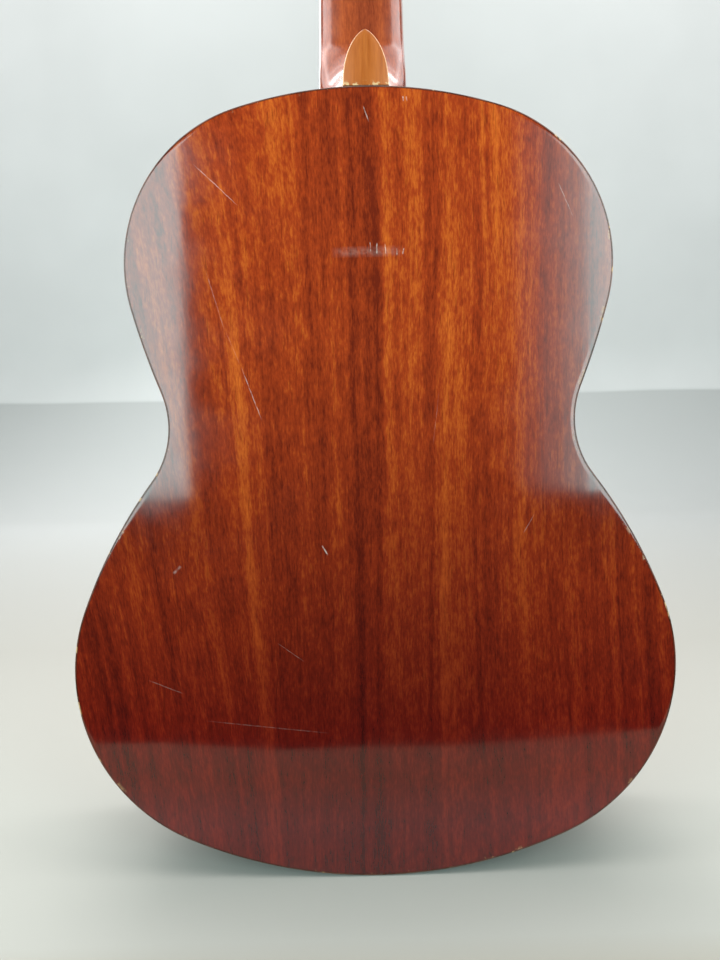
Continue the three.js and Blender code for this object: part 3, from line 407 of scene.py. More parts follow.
def cap_wood():
    """The heel cap: warm honey wood with flecks, a pale rim along its rounded outer edge and a few chips at
    its base.
    """
    t = Tree("cap_wood")
    grain = t.noise(t.stretch((260, 200, 22)), detail=4, roughness=0.6, distortion=0.4)
    flecks = t.noise(t.stretch((900, 900, 110)), detail=2)
    tone = t.math("ADD", t.math("MULTIPLY", grain, 0.7), t.math("MULTIPLY", flecks, 0.3))
    color = t.ramp(tone, [(0.3, (0.3, 0.062, 0.005)), (0.68, (0.47, 0.118, 0.011))])
    rim = t.attribute("rim")
    color = t.mix(t.math("MULTIPLY", rim, 0.75), color, (0.82, 0.5, 0.27))
    base = t.between(t.axis(2), BODY_LENGTH * MM + 0.0002, BODY_LENGTH * MM + 0.0032, 1.0, 0.0)
    spots = t.ramp(t.noise(t.stretch((330, 330, 330)), detail=3), [(0.52, 0.0), (0.58, 1.0)])
    chips = t.math("MULTIPLY", base, spots)
    color = t.mix(chips, color, (0.66, 0.42, 0.2))
    rough = t.math("ADD", t.ramp(grain, [(0.3, 0.3), (0.7, 0.44)]), t.math("MULTIPLY", chips, 0.3))
    return t.finish(color, rough, t.math("SUBTRACT", tone, chips), strength=0.12, distance=0.0002)


def binding():
    """The dark edge strip, with its lacquer chipped to pale wood here and there."""
    t = Tree("binding_dark")
    stain = t.noise(t.stretch((60, 60, 60)), detail=3)
    chips = t.ramp(t.noise(t.stretch((95, 95, 60)), detail=4, roughness=0.65), [(0.63, 0.0), (0.66, 1.0)])
    color = t.ramp(stain, [(0.3, (0.05, 0.015, 0.008)), (0.7, (0.14, 0.04, 0.018))])
    color = t.mix(chips, color, (0.5, 0.29, 0.13))
    rough = t.math("ADD", t.ramp(stain, [(0.3, 0.2), (0.7, 0.36)]), t.math("MULTIPLY", chips, 0.4))
    return t.finish(color, rough, t.math("SUBTRACT", 1.0, chips), strength=0.3, distance=0.0003)


def spruce():
    """Quartered soundboard wood: fine even lines, mirrored at the middle seam, under amber lacquer."""
    t = Tree("top_spruce")
    sway = t.math("MULTIPLY", t.noise(t.stretch((3, 3, 2)), detail=2), 0.006)
    line = t.math("SINE", t.math("MULTIPLY", t.math("ADD", t.math("ABSOLUTE", t.axis(0)), sway), 3600))
    lines = t.ramp(t.math("ADD", t.math("MULTIPLY", line, 0.5), 0.5), [(0.55, 0.0), (0.98, 1.0)])
    patch = t.noise(t.stretch((60, 60, 4)), detail=4)
    base = t.ramp(patch, [(0.3, (0.58, 0.31, 0.1)), (0.7, (0.74, 0.45, 0.17))])
    color = t.mix(t.math("MULTIPLY", lines, 0.5), base, (0.42, 0.19, 0.055))
    rays = t.ramp(t.noise(t.stretch((300, 300, 900)), detail=1), [(0.62, 0.0), (0.7, 1.0)])
    color = t.mix(t.math("MULTIPLY", rays, 0.18), color, (0.86, 0.62, 0.32))
    return t.finish(color, t.ramp(patch, [(0.3, 0.12), (0.7, 0.2)]), lines, strength=0.05, distance=0.0001,
                    Coat_Weight=0.5, Coat_Roughness=0.05)


def mosaic():
    """Rosette rings of dark and light veneers round a band of small tiles."""
    t = Tree("rosette_mosaic")
    centre = t.node("VectorMath", settings={"operation": "SUBTRACT"}, i0=t.place, i1=(0, 0, 0.323))
    x, z = t.axis(0, centre), t.axis(2, centre)
    radius = t.math("SQRT", t.math("ADD", t.math("MULTIPLY", x, x), t.math("MULTIPLY", z, z)))
    angle = t.math("ARCTAN2", z, x)
    share = t.between(radius, 0.048, 0.062, 0.0, 1.0)
    dark, pale, red, green = (0.02, 0.012, 0.01), (0.6, 0.42, 0.2), (0.25, 0.05, 0.03), (0.03, 0.12, 0.07)
    inner_rings = [(0.0, dark), (0.05, pale), (0.1, dark), (0.15, red), (0.2, dark), (0.25, pale),
                   (0.29, dark)]
    outer_rings = [(0.71, dark), (0.75, pale), (0.8, dark), (0.85, red), (0.9, dark), (0.95, pale)]
    rings = t.ramp(share, inner_rings + outer_rings, ease="CONSTANT")
    column = t.math("FLOOR", t.math("MULTIPLY", angle, 96 / math.pi / 2))
    row = t.math("FLOOR", t.math("MULTIPLY", share, 18))
    step = t.math("SUBTRACT", t.math("PINGPONG", column, 4), t.math("SUBTRACT", row, 6))
    step = t.math("MULTIPLY", t.math("ABSOLUTE", step), 0.2)
    tiles = t.ramp(step, [(0.0, pale), (0.15, green), (0.35, red), (0.55, dark)], ease="CONSTANT")
    inner = t.math("MULTIPLY", t.math("GREATER_THAN", share, 0.31), t.math("LESS_THAN", share, 0.69))
    grain = t.noise(t.stretch((900, 900, 900)), detail=2)
    color = t.mix(t.math("MULTIPLY", grain, 0.3), t.mix(inner, rings, tiles), (0.1, 0.06, 0.03))
    return t.finish(color, t.ramp(grain, [(0.3, 0.14), (0.7, 0.24)]), Coat_Weight=0.5, Coat_Roughness=0.05)


def metal(name, color, rough, brush=(400, 400, 400)):
    """Metal with dull patches and fine brushed lines."""
    t = Tree(name)
    wear = t.noise(t.stretch((130, 130, 130)), detail=5, roughness=0.7)
    lines = t.noise(t.stretch(brush), detail=2)
    shade = t.mix(t.ramp(wear, [(0.45, 0.0), (0.8, 0.6)]), color, tuple(c * 0.45 for c in color))
    return t.finish(shade, t.ramp(lines, [(0.3, rough), (0.7, rough + 0.14)]), lines,
                    strength=0.05, distance=0.0001, Metallic=1.0)


def smooth_plastic(name, low, high, rough, scale=45, **sockets):
    """Bone, pearl or nylon: smooth, with a faint swirl."""
    t = Tree(name)
    swirl = t.noise(t.stretch((scale, scale, scale * 0.5)), detail=4, distortion=2.2)
    color = t.ramp(swirl, [(0.35, low), (0.65, high)])
    rough = t.ramp(swirl, [(0.3, rough), (0.7, rough + 0.08)])
    return t.finish(color, rough, swirl, strength=0.04, distance=0.0001, **sockets)


def wound_string():
    """A bass string's silvered wire, with its turns."""
    t = Tree("string_wound")
    turns = t.node("TexWave", settings={"bands_direction": "Z"}, Vector=t.place, Scale=620.0)
    color = t.ramp(turns, [(0.0, (0.3, 0.28, 0.25)), (0.6, (0.72, 0.68, 0.6))])
    return t.finish(color, t.ramp(turns, [(0.0, 0.5), (1.0, 0.28)]), turns, strength=0.5, Metallic=1.0)


M = {
    "back": back_material(),
    "side": lacquered("side_lacquered_sapele", (0.08, 0.015, 0.007), (0.22, 0.048, 0.018), (0.46, 0.12, 0.03),
                      [(0.0, 0.5), (0.5, 0.45), (1.0, 0.5)], arc=True),
    "neck": lacquered("neck_lacquered_mahogany",
                      (0.13, 0.018, 0.007), (0.25, 0.042, 0.012), (0.42, 0.085, 0.02),
                      [(0.35, 0.35), (0.5, 0.55), (0.62, 0.4)], coat=1.0, soft=0.2,
                      lacquer=0.13, fade=False, pore=0.25),
    "top": spruce(),
    "cap": cap_wood(),
    "inner": plain_wood("inner_cedar", (0.5, 0.33, 0.17), (0.74, 0.56, 0.34), rough=(0.6, 0.8)),
    "dark": plain_wood("dark_rosewood", (0.018, 0.008, 0.006), (0.085, 0.035, 0.022), rough=(0.3, 0.5)),
    "binding": binding(),
    "rosette": mosaic(),
    "bone": smooth_plastic("bone_aged", (0.72, 0.64, 0.46), (0.86, 0.81, 0.68), 0.32),
    "pearl": smooth_plastic("pearl_plastic", (0.5, 0.48, 0.42), (0.74, 0.71, 0.64), 0.14, 160,
                            Coat_Weight=0.4),
    "nylon": smooth_plastic("string_nylon", (0.7, 0.67, 0.6), (0.82, 0.8, 0.74), 0.18, 60,
                            Subsurface_Weight=0.2),
    "wound": wound_string(),
    "brass": metal("plate_brass", (0.78, 0.6, 0.3), 0.24, (90, 90, 900)),
    "gear": metal("gear_brass", (0.66, 0.45, 0.17), 0.3),
    "worm": metal("worm_steel", (0.66, 0.56, 0.38), 0.28),
    "fret": metal("fret_wire", (0.68, 0.66, 0.6), 0.2),
}


# ------------------------------------------------------------------ sound box
def plate(name, profile, material, columns=28, **kw):
    """A plate whose rim goes round the outline; profile is (inset, y function), inner face to outer."""
    rings = []
    for inset, y in profile:
        right = [(x, y(x, z), z) for x, z in half_outline(inset)]
        rings.append(right + [(-x, yy, z) for x, yy, z in reversed(right[1:-1])])
    n = len(rings[0])
    rows = len(half_outline()) - 1
    verts = [p for ring in rings for p in ring]
    faces = []
    for i in range(len(rings) - 1):
        for j in range(n):
            k = (j + 1) % n
            faces.append((i * n + j, i * n + k, (i + 1) * n + k, (i + 1) * n + j))
    for index in (0, len(rings) - 1):
        y = profile[index][1]
        ring = range(index * n, index * n + n)
        lines = []
        for i in range(1, rows):
            a, b = ring[i], ring[n - i]
            (xa, _, za), xb = verts[a], verts[b][0]
            line = [a]
            for k in range(1, columns):
                x = xa + (xb - xa) * k / columns
                line.append(len(verts))
                verts.append((x, y(x, za), za))
            lines.append(line + [b])
        for line, after in zip(lines, lines[1:]):
            for k in range(columns):
                faces.append((line[k], line[k + 1], after[k + 1], after[k]))
        faces.append((ring[0], *lines[0]))
        faces.append((ring[rows], *reversed(lines[-1])))
    return mesh(name, verts, faces, material, **kw)


def over_back(drop):
    return lambda x, z: back_y(x, z) - drop


def over_front(rise):
    return lambda x, z: FRONT_Y + rise


BINDING = 0.9
SEAM, BACK_INNER = BINDING + 0.05, THICK - 0.2
back_profile = [(BINDING + 0.8, over_back(BACK_INNER)), (SEAM, over_back(BACK_INNER)),
                (SEAM, over_back(0.25)), (BINDING + 0.2, over_back(0.06)),
                (BINDING + 0.6, over_back(0)), (BINDING + 2.4, over_back(0))]
back = plate("back_panel", back_profile, M["back"], slot="back_wood")
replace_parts(back, "back_plate")
rim_points = [Vector((x, z)) for x, z in half_outline(0, 2.0)]
RIM_REACH = 8.0


def from_rim(x, y, z):
    """0 at the rim, 1 from RIM_REACH inwards."""
    return min(1.0, min((Vector((abs(x), z)) - p).length for p in rim_points) / RIM_REACH)


mark(back, "rim", from_rim)
travel = [0.0]
for here, after in zip(rim_points, rim_points[1:]):
    travel.append(travel[-1] + (after - here).length)


def distance_round(x, y, z):
    """How far round the outline, in metres, the nearest point of the rim is."""
    nearest = min(range(len(rim_points)), key=lambda i: (Vector((abs(x), z)) - rim_points[i]).length)
    return travel[nearest] * MM


def section_rings(section):
    """A section of (inset, y function) points, set at each point of half the outline."""
    lines = [half_outline(inset) for inset, _ in section]
    return [[(x, y(x, z), z) for (x, z), (_, y) in zip(points, section)] for points in zip(*lines)]


def strip(name, section, material, low=0.0, tail=0.0, mirror=1, **kw):
    """A strip along one half of the outline, from past low at the top to past tail at the bottom."""
    outline = half_outline(section[0][0])
    halfway = 300
    rings = [[(mirror * x, y, z) for x, y, z in ring]
             for ring, (x, z) in zip(section_rings(section), outline) if x > (low if z > halfway else tail)]
    return mesh(name, *loft(rings), material, **kw)


def whole_ring(name, section, material, **kw):
    """A strip all the way round the outline."""
    right = section_rings(section)
    left = [[(-x, y, z) for x, y, z in ring] for ring in reversed(right[1:-1])]
    return mesh(name, *loft(right + left, closed=True), material, **kw)


whole_ring("back_binding",
           [(0.0, over_back(0.7)), (0.2, over_back(0.25)), (0.7, over_back(0.02)), (BINDING, over_back(0.0)),
            (BINDING, over_back(THICK)), (0.0, over_back(THICK))],
           M["binding"], slot="dark_wood")
whole_ring("top_binding",
           [(-0.05, over_front(0.6)), (0.15, over_front(0.15)), (0.6, over_front(-0.03)),
            (BINDING, over_front(-0.05)), (BINDING, over_front(0.0)), (-0.05, over_front(THICK - 0.2))],
           M["binding"], slot="dark_wood")
TAIL_STRIP_HALF = 12.3
for side, mirror in (("treble", 1), ("bass", -1)):
    rib = strip(f"rib_{side}",
                [(0.0, over_back(THICK + 0.05)), (0.0, over_back(20)),
                 (0.0, over_front(30)), (0.0, over_front(THICK)),
                 (SIDE_THICK, over_front(THICK)), (SIDE_THICK, over_back(THICK + 0.3))],
                M["side"], low=-1, tail=TAIL_STRIP_HALF, mirror=mirror, slot="side_wood")
    mark(rib, "arc", distance_round)
    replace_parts(rib, f"side_{side}")


# ------------------------------------------------------------------ neck
def board_width(z):
    """The width of the neck and its board."""
    return NUT_WIDTH + (JOIN_WIDTH - NUT_WIDTH) * (NUT_Z - z) / (NUT_Z - BODY_LENGTH)


DEPTH_NUT, DEPTH_BODY = 15.0, 17.0
# the heel: its cap's half width and length, its outline's two powers, and how it runs into the shaft
HEEL = {"depth": 88.4, "base": 13.1, "length": 30.6, "shoulder": 6.0, "scoop": 28.0, "ogive": 2.2,
        "tip": 0.65}
# how fast, over its depth, the heel gets wider and squarer towards the front
FLARE = {"depth": 22.0, "square": 5.0, "square_depth": 15.0}
SHARP_END = 0.05


def shaft_depth(out):
    """How deep the shaft is at a distance out from the box."""
    return DEPTH_BODY + (DEPTH_NUT - DEPTH_BODY) * out / (NUT_Z - BODY_LENGTH)


def heel_length(depth):
    """How far out from the box the heel reaches at a depth below the soundboard."""
    bend = DEPTH_BODY + HEEL["scoop"]
    if depth >= bend:
        return HEEL["length"] + HEEL["shoulder"] * (HEEL["depth"] - depth) / (HEEL["depth"] - bend)
    drop = bend - depth
    round_part = math.sqrt(max(HEEL["scoop"] ** 2 - min(drop, HEEL["scoop"]) ** 2, 0))
    return HEEL["length"] + HEEL["shoulder"] + HEEL["scoop"] - round_part + max(drop - HEEL["scoop"], 0)


def neck_depth(out):
    """How deep the neck is with its heel, found by halving."""
    if out >= heel_length(DEPTH_BODY):
        return shaft_depth(out)
    low, high = DEPTH_BODY, HEEL["depth"]
    for _ in range(40):
        middle = (low + high) / 2
        low, high = (middle, high) if heel_length(middle) > out else (low, middle)
    return max(low, shaft_depth(out))


def neck_half(depth, out):
    """Half the width of the neck: a D-shaped shaft that grows a heel with flaring flanks."""
    edge = board_width(BODY_LENGTH + out) / 2
    down = min(max(depth, 0) / shaft_depth(out), 1)
    grip = edge * (1 - down**3) ** (1 / 3)
    below = max(depth - DEPTH_BODY, 0)
    flare = math.exp(-below / FLARE["depth"]) - math.exp((DEPTH_BODY - HEEL["depth"]) / FLARE["depth"])
    flank = HEEL["base"] + (edge - HEEL["base"]) * flare
    squareness = HEEL["ogive"] + FLARE["square"] * math.exp(-below / FLARE["square_depth"])
    share = max(out, 0) / heel_length(depth)
    heel = flank * (1 - share**squareness) ** HEEL["tip"] if share < 1 else 0
    return min(edge, (grip**4 + heel**4) ** (1 / 4))


def cut_flat(bm, point, outward):
    """Cuts off what lies beyond a plane, and closes the cut."""
    geometry = bm.verts[:] + bm.edges[:] + bm.faces[:]
    found = bmesh.ops.bisect_plane(bm, geom=geometry, plane_co=point, plane_no=outward, clear_outer=True)
    rim = [e for e in found["geom_cut"] if isinstance(e, bmesh.types.BMEdge)]
    bmesh.ops.holes_fill(bm, edges=rim, sides=0)


def neck_blank():
    """The neck, longer at both ends, at its face and under its cap than it will be, as rings across it."""
    spare, steps = 4.0, 30
    near_heel = [1.6 * i - spare for i in range(48)]
    stations = near_heel + [75, 95, 120, 160, 200, 250, 300, 330 + spare]
    rings = []
    for out in stations:
        depth = neck_depth(max(out, 0))
        low = depth + (spare if depth > HEEL["depth"] - 0.5 else 0)
        right = []
        for k in range(steps + 1):
            d = -spare + (low + spare) * math.sin(k / steps * math.pi / 2)
            half = SHARP_END if k == steps else max(neck_half(min(d, HEEL["depth"]), out), SHARP_END)
            right.append((half, FRONT_Y + d, BODY_LENGTH + out))
        rings.append(right + [(-x, y, z) for x, y, z in reversed(right)])
    return rings


def carved_neck():
    """The neck as one even skin, rounded as by hand, then cut flat where it is glued."""
    piece = mesh("neck_shaft_and_heel", *loft(neck_blank()), M["neck"], slot="neck_wood")
    remesh = piece.modifiers.new("even", "REMESH")
    remesh.mode, remesh.voxel_size = "VOXEL", 1.25 * MM
    bpy.context.view_layer.update()
    even = bpy.data.meshes.new_from_object(piece.evaluated_get(bpy.context.evaluated_depsgraph_get()))
    piece.modifiers.clear()
    bm = bmesh.new()
    bm.from_mesh(even)
    smoothing_passes, into_box = 22, 1.6
    for _ in range(smoothing_passes):
        bmesh.ops.smooth_vert(bm, verts=bm.verts, factor=0.5,
                              use_axis_x=True, use_axis_y=True, use_axis_z=True)
    cut_flat(bm, (0, FRONT_Y * MM, 0), (0, -1, 0))
    cut_flat(bm, (0, 0, (BODY_LENGTH - into_box) * MM), (0, 0, -1))
    cut_flat(bm, (0, 0, (HEAD_START - 0.1) * MM), (0, 0, 1))
    cut_flat(bm, (0, (FRONT_Y + HEEL["depth"]) * MM, 0), (0, 1, 0))
    bm.to_mesh(piece.data)
    bm.free()
    bpy.data.meshes.remove(even)
    soften(piece, 50)
    return piece


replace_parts(carved_neck(), "neck")


def heel_cap():
    """Rows of points across the cap, from its base to its rounded tip."""
    rows, front, steps, lip = [], FRONT_Y + HEEL["depth"] + 0.1, 28, 0.3
    top = min(BACK_Y_HEEL - 0.15, front + 3.1)
    for k in range(steps + 1):
        u = math.sin(k / steps * math.pi / 2)
        half = max((HEEL["base"] + lip) * (1 - u ** HEEL["ogive"]) ** HEEL["tip"], 0.1)
        z = BODY_LENGTH + 0.2 + u * (HEEL["length"] + lip)
        edge = min(0.7, half / 2)
        right = [(half, front), (half, top - 0.7), (half - edge * 0.35, top - 0.2), (half - edge, top)]
        left = [(-x, y) for x, y in reversed(right)]
        rows.append([(x, y, z) for x, y in right + [(0, top + 0.05)] + left])
    return rows


cap = mesh("heel_cap_shaped", *loft(heel_cap()), M["cap"], slot="cap_wood", smooth=45)
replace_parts(cap, "heel_cap")
mark(cap, "rim", lambda x, y, z: 1.0 if BACK_Y_HEEL - 1.2 < y < BACK_Y_HEEL - 0.5 else 0.0)

# ------------------------------------------------------------------ strings
DIAMETERS = [0.71, 0.82, 1.03, 0.74, 0.86, 1.09]
SADDLE_SPACING, NUT_SPACING = 11.7, 8.6
HOLE_OUT, SADDLE_TOP, NUT_TOP = 5.0, 12.1, 7.7  # heights in front of the soundboard
KNOT = {"reach": 2.6, "flat": 0.55, "out": 1.2, "drop": 1.1, "turns": 1.5, "steps": 40}
WHEEL_SCREW = [(0, 0), (2.0, 0), (2.0, 0.5), (1.4, 1.1), (0, 1.3)]
WHEEL_SCREW_X = DRIVE_X + 1.4 + 0.65
PLATE_SCREW = [(0, 0), (1.9, 0), (1.7, 0.5), (1.0, 0.85), (0, 0.95)]
PLATE_MIDDLE = 14.8


def tuner_place(i):
    """Side and row of string i's tuner, with the first string's nearest the nut on the treble side."""
    return (1, i) if i < 3 else (-1, 5 - i)


def make_string(i, r):
    """A string of radius r: its straight length, the knot at the bridge and the turns on its roller."""
    side, row = tuner_place(i)
    look = "nylon" if i < 3 else "wound"
    saddle_x, nut_x = (2.5 - i) * SADDLE_SPACING, (2.5 - i) * NUT_SPACING
    wind_x, wind_s = side * (20.5 - 5 * row), ROLLER_S[row]
    reach = ROLLER_RADIUS + r + 0.1
    on_bridge = [(HOLE_OUT, -21.5), (HOLE_OUT, -8.4), (5.8, -7), (SADDLE_TOP - 0.5 + r, -1.9),
                 (SADDLE_TOP + r, -1), (SADDLE_TOP + r, 1)]
    on_nut = [(NUT_TOP + r, 0.2), (NUT_TOP + r, 4.2), (NUT_TOP - 0.4 + r, 5.6)]
    points = [(saddle_x, FRONT_Y - out, SADDLE_Z + z) for out, z in on_bridge]
    points += [(nut_x, FRONT_Y - out, NUT_Z + z) for out, z in on_nut]
    points.append(head_point(wind_x, ROLLER_Y - reach, wind_s - 1))
    string = mesh(f"string_{i + 1}_drawn", *tube(points, r), M[look], slot=look, smooth=60)
    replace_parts(string, f"string_{i + 1}")

    knot = []
    for k in range(KNOT["steps"] + 1):
        t = k / KNOT["steps"]
        angle = 2 * math.pi * t * KNOT["turns"]
        x = saddle_x + KNOT["reach"] * math.sin(angle) * (0.4 + 0.6 * t) * side
        y = FRONT_Y - HOLE_OUT - KNOT["reach"] * math.cos(angle) * KNOT["flat"] - KNOT["out"]
        knot.append((x, y, SADDLE_Z - 21.2 - r - 0.5 - KNOT["drop"] * math.sin(math.pi * t)))
    mesh(f"string_{i + 1}_knot", *tube(knot, r, 8), M[look], slot=look, smooth=60)

    turns, steps, coil = 4 if i < 3 else 3, 20, []
    for k in range(turns * steps + 1):
        angle = 2 * math.pi * k / steps + math.pi
        x = wind_x + side * (0.2 - k / steps * 2.1 * r)
        coil.append(head_point(x, ROLLER_Y + reach * math.cos(angle), wind_s + reach * math.sin(angle)))
    mesh(f"string_{i + 1}_winding", *tube(coil, r, 8), M[look], body=f"string_roller_{i + 1}",
         slot=look, smooth=60)


for i, diameter in enumerate(DIAMETERS):
    make_string(i, diameter / 2)
    side, row = tuner_place(i)
    verts, faces = lathe([(a, side * b) for a, b in WHEEL_SCREW], axis="X",
                         at=(side * WHEEL_SCREW_X, ROLLER_Y, ROLLER_S[row]))
    mesh(f"wheel_screw_{i + 1}", verts, faces, M["brass"], body=f"string_roller_{i + 1}", slot="plate_metal",
         tilted=True)

# ------------------------------------------------------------------ tuner buttons and plate screws
BUTTON = {"start": 22.0, "length": 17.0, "wide": 8.0, "flat": 4.6, "base": 0.5, "widest": 0.62}
button_profile = [(0.0, 0.0)]
for k in range(25):
    h = k / 24
    rise = BUTTON["base"] + (1 - BUTTON["base"]) * math.sin(math.pi / 2 * min(h / BUTTON["widest"], 1)) ** 0.9
    fall = (1 - (max(h - BUTTON["widest"], 0) / (1 - BUTTON["widest"])) ** 2.3) ** 0.5
    button_profile.append((rise * fall * BUTTON["wide"], h * BUTTON["length"]))
for i in range(6):
    side, row = tuner_place(i)
    at = (side * DRIVE_X, BUTTON["start"], ROLLER_S[row] - WORM_BELOW)
    verts, faces = lathe(button_profile, sides=40)
    flatness = BUTTON["flat"] / BUTTON["wide"]
    verts = [(x * flatness + at[0], y + at[1], z + at[2]) for x, y, z in verts]
    button = mesh(f"button_{i + 1}_shaped", verts, faces, M["pearl"], body=f"button_shaft_{i + 1}",
                  slot="pearl", tilted=True)
    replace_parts(button, f"button_{i + 1}")

for name, side in (("treble", 1), ("bass", -1)):
    for s in (24.5, 63.5, 98.5, 133):
        verts, faces = lathe([(a, side * b) for a, b in PLATE_SCREW], axis="X",
                             at=(side * PLATE_OUT, PLATE_MIDDLE, s))
        mesh(f"plate_screw_{name}_{int(s)}", verts, faces, M["brass"], slot="plate_metal", tilted=True)

# ------------------------------------------------------------------ finishes of the frame's own nodes
FINISH = {"soundboard": "top", "rosette": "rosette", "tail_strip": "dark", "neck_block": "inner",
          "end_block": "inner", "soundhole_ring": "inner", "fan_bracing": "inner", "fingerboard": "dark",
          "fret_set": "fret", "nut": "bone", "saddle": "bone", "bridge": "dark", "headstock": "neck",
          "headstock_veneer": "dark", "tuner_plate_treble": "brass", "tuner_plate_bass": "brass"}
PREFIX = {"top_lining": "inner", "back_lining": "inner", "back_bar": "inner", "top_bar": "inner",
          "roller": "pearl", "worm_wheel": "gear", "worm": "worm"}
ROUNDED = {"headstock": 0.8, "headstock_veneer": 0.3, "bridge": 0.5, "nut": 0.4, "saddle": 0.5,
           "fingerboard": 0.15, "tuner_plate_treble": 0.15, "tuner_plate_bass": 0.15, "tail_strip": 0.2,
           "fret_set": 0.1}
REBUILT = ("back_plate", "side_", "neck", "heel_cap", "string_", "button_")
for name, node in NODES.items():
    if name.startswith(REBUILT) and name != "neck_block":
        continue
    key = FINISH.get(name) or next(v for k, v in PREFIX.items() if name.startswith(k))
    node.data.materials.clear()
    node.data.materials.append(M[key])
    if name in ROUNDED:
        soften(node, 30)
        bevel = node.modifiers.new("rounded", "BEVEL")
        bevel.width, bevel.segments, bevel.limit_method = ROUNDED[name] * MM, 2, "ANGLE"
        bevel.angle_limit = math.radians(35)
    else:
        soften(node, 42)

# ------------------------------------------------------------------ camera
FOCAL_SHARE = 0.69375  # focal length as a share of the picture's height
SENSOR_HEIGHT, SENSOR_WIDTH = 36.0, 27.0
# the camera's turn, and where the middle of the back's rim lies in its view (right, up, away), in mm
pitch, yaw, roll = math.radians(-4.461), math.radians(-0.42), math.radians(1.158)
turn = Matrix.Rotation(roll, 3, "Z") @ Matrix.Rotation(yaw, 3, "Y") @ Matrix.Rotation(pitch, 3, "X")
shift = Vector((8.1, -9.63, 400.92))


def plane_to_row(v):
    """A direction from the back's rim plane (right as seen from behind, up, away) to the guitar's frame."""
    return Vector((-v.x, -v.z, v.y))


camera_data = bpy.data.cameras.new("camera")
camera_data.sensor_fit = "VERTICAL"
camera_data.sensor_height, camera_data.sensor_width = SENSOR_HEIGHT, SENSOR_WIDTH
camera_data.lens = FOCAL_SHARE * SENSOR_HEIGHT
camera_data.clip_start = 0.01
camera = bpy.data.objects.new("camera", camera_data)
bpy.context.scene.collection.objects.link(camera)
rim_middle = Vector((0, (BACK_Y_TAIL + BACK_Y_HEEL) / 2, BODY_LENGTH / 2))
eye = plane_to_row(-(turn.transposed() @ shift)) + rim_middle
right, up, forward = (plane_to_row(turn.transposed() @ Vector(a)) for a in ((1, 0, 0), (0, 1, 0), (0, 0, 1)))
rotation = Matrix((right, up, -forward)).transposed()
camera.matrix_world = Matrix.Translation(eye * MM) @ rotation.to_4x4()
bpy.context.scene.camera = camera


# ------------------------------------------------------------------ floor, backdrop and light
# in metres: the sheet's near end, the floor, where and how roundly it bends up, its top and its crease
SHEET = {"end": 0.22, "low": -0.0005, "bend": -1.6, "radius": 0.6, "top": 4.0, "fold": 0.4}
# how far the sheet's near end, in metres, waves in or out at places across it
WAVES = {-5: 0, -2.5: 0.03, -0.9: 0.0, -0.35: 0.012, -0.2: 0.004, -0.08: -0.003, 0.0: 0.0,
         0.08: -0.004, 0.2: 0.008, 0.35: 0.0, 0.9: 0.01, 2.5: -0.02, 5: 0}


def sheet_material():
    """A pale cloudy sheet with painted shade: darker towards its middle, along and below a crease across its
    wall, towards the backdrop and in a strip at its near end.
    """
    t = Tree("pale_sheet")
    weave = t.noise(t.stretch((260, 260, 260)), detail=2)
    cloud = t.noise(t.stretch((1.6, 1.6, 1.6)), detail=3)
    color = t.ramp(cloud, [(0.3, (0.73, 0.735, 0.725)), (0.7, (0.81, 0.815, 0.805))])
    # painted shade: the sheet is darker towards its middle
    middle = t.math("ABSOLUTE", t.axis(0))
    color = t.mix(t.between(middle, 0.1, 1.4, 0.5, 0.0), color, (0.46, 0.47, 0.46))
    # painted shade: a darker, wavering line along the crease
    wander = t.math("SUBTRACT", t.noise(t.stretch((1.2, 1, 1)), detail=1), 0.5)
    height = t.math("ADD", t.axis(2), t.math("MULTIPLY", wander, 0.05))
    crease = t.between(t.math("ABSOLUTE", t.math("SUBTRACT", height, SHEET["fold"])), 0.0, 0.012, 0.35, 0.0)
    color = t.mix(crease, color, (0.55, 0.57, 0.56))
    # painted shade: the sheet below the crease, the floor with it, is darker
    below = t.between(height, SHEET["fold"] - 0.005, SHEET["fold"] + 0.005, 0.8, 0.0)
    color = t.mix(below, color, (0.5, 0.51, 0.5))
    y = t.axis(1)
    # painted shade: darker and warmer from 0.4 m towards the backdrop, over the far floor and the wall
    color = t.mix(t.between(y, -1.5, -0.4, 0.0, 0.75), color, (0.3, 0.282, 0.245))
    # painted shadow: a dark, warm strip along the sheet's near end
    color = t.mix(t.between(y, 0.1, 0.16, 0.0, 0.7), color, (0.24, 0.19, 0.11))
    return t.finish(color, 0.9, weave, strength=0.1)


def stage_sheet():
    """A pale sheet that lies as the floor and rises far behind as the backdrop."""
    low, bend, radius = SHEET["low"], SHEET["bend"], SHEET["radius"]
    profile = [(SHEET["end"], low), (0.1, low), (-0.6, low), (bend, low)]
    for k in range(1, 13):
        a = k / 12 * math.pi / 2
        profile.append((bend - radius * math.sin(a), low + radius * (1 - math.cos(a))))
    profile += [(bend - radius, 2.0), (bend - radius, SHEET["top"])]
    rows = [[(x, y + (wave if y == SHEET["end"] else 0), z) for y, z in profile] for x, wave in WAVES.items()]
    n = len(profile)
    corners = [i * n + j for i in range(len(rows) - 1) for j in range(n - 1)]
    faces = [(k, k + 1, k + n + 1, k + n) for k in corners]
    data = bpy.data.meshes.new("sheet")
    data.from_pydata([p for row in rows for p in row], [], faces)
    data.polygons.foreach_set("use_smooth", [True] * len(faces))
    sheet = bpy.data.objects.new("floor_and_backdrop", data)
    bpy.context.scene.collection.objects.link(sheet)
    data.materials.append(sheet_material())


def softbox(name, at, aim, size, power, color=(1, 1, 1)):
    """A soft rectangular lamp, in metres and watts, that lights and reflects but isn't seen itself."""
    data = bpy.data.lights.new(name, "AREA")
    data.shape, data.size, data.size_y = "RECTANGLE", size[0], size[1]
    data.energy, data.color = power, color
    lamp = bpy.data.objects.new(name, data)
    bpy.context.scene.collection.objects.link(lamp)
    lamp.visible_camera = False
    lamp.location = at
    lamp.rotation_euler = (Vector(aim) - Vector(at)).to_track_quat("-Z", "Y").to_euler()


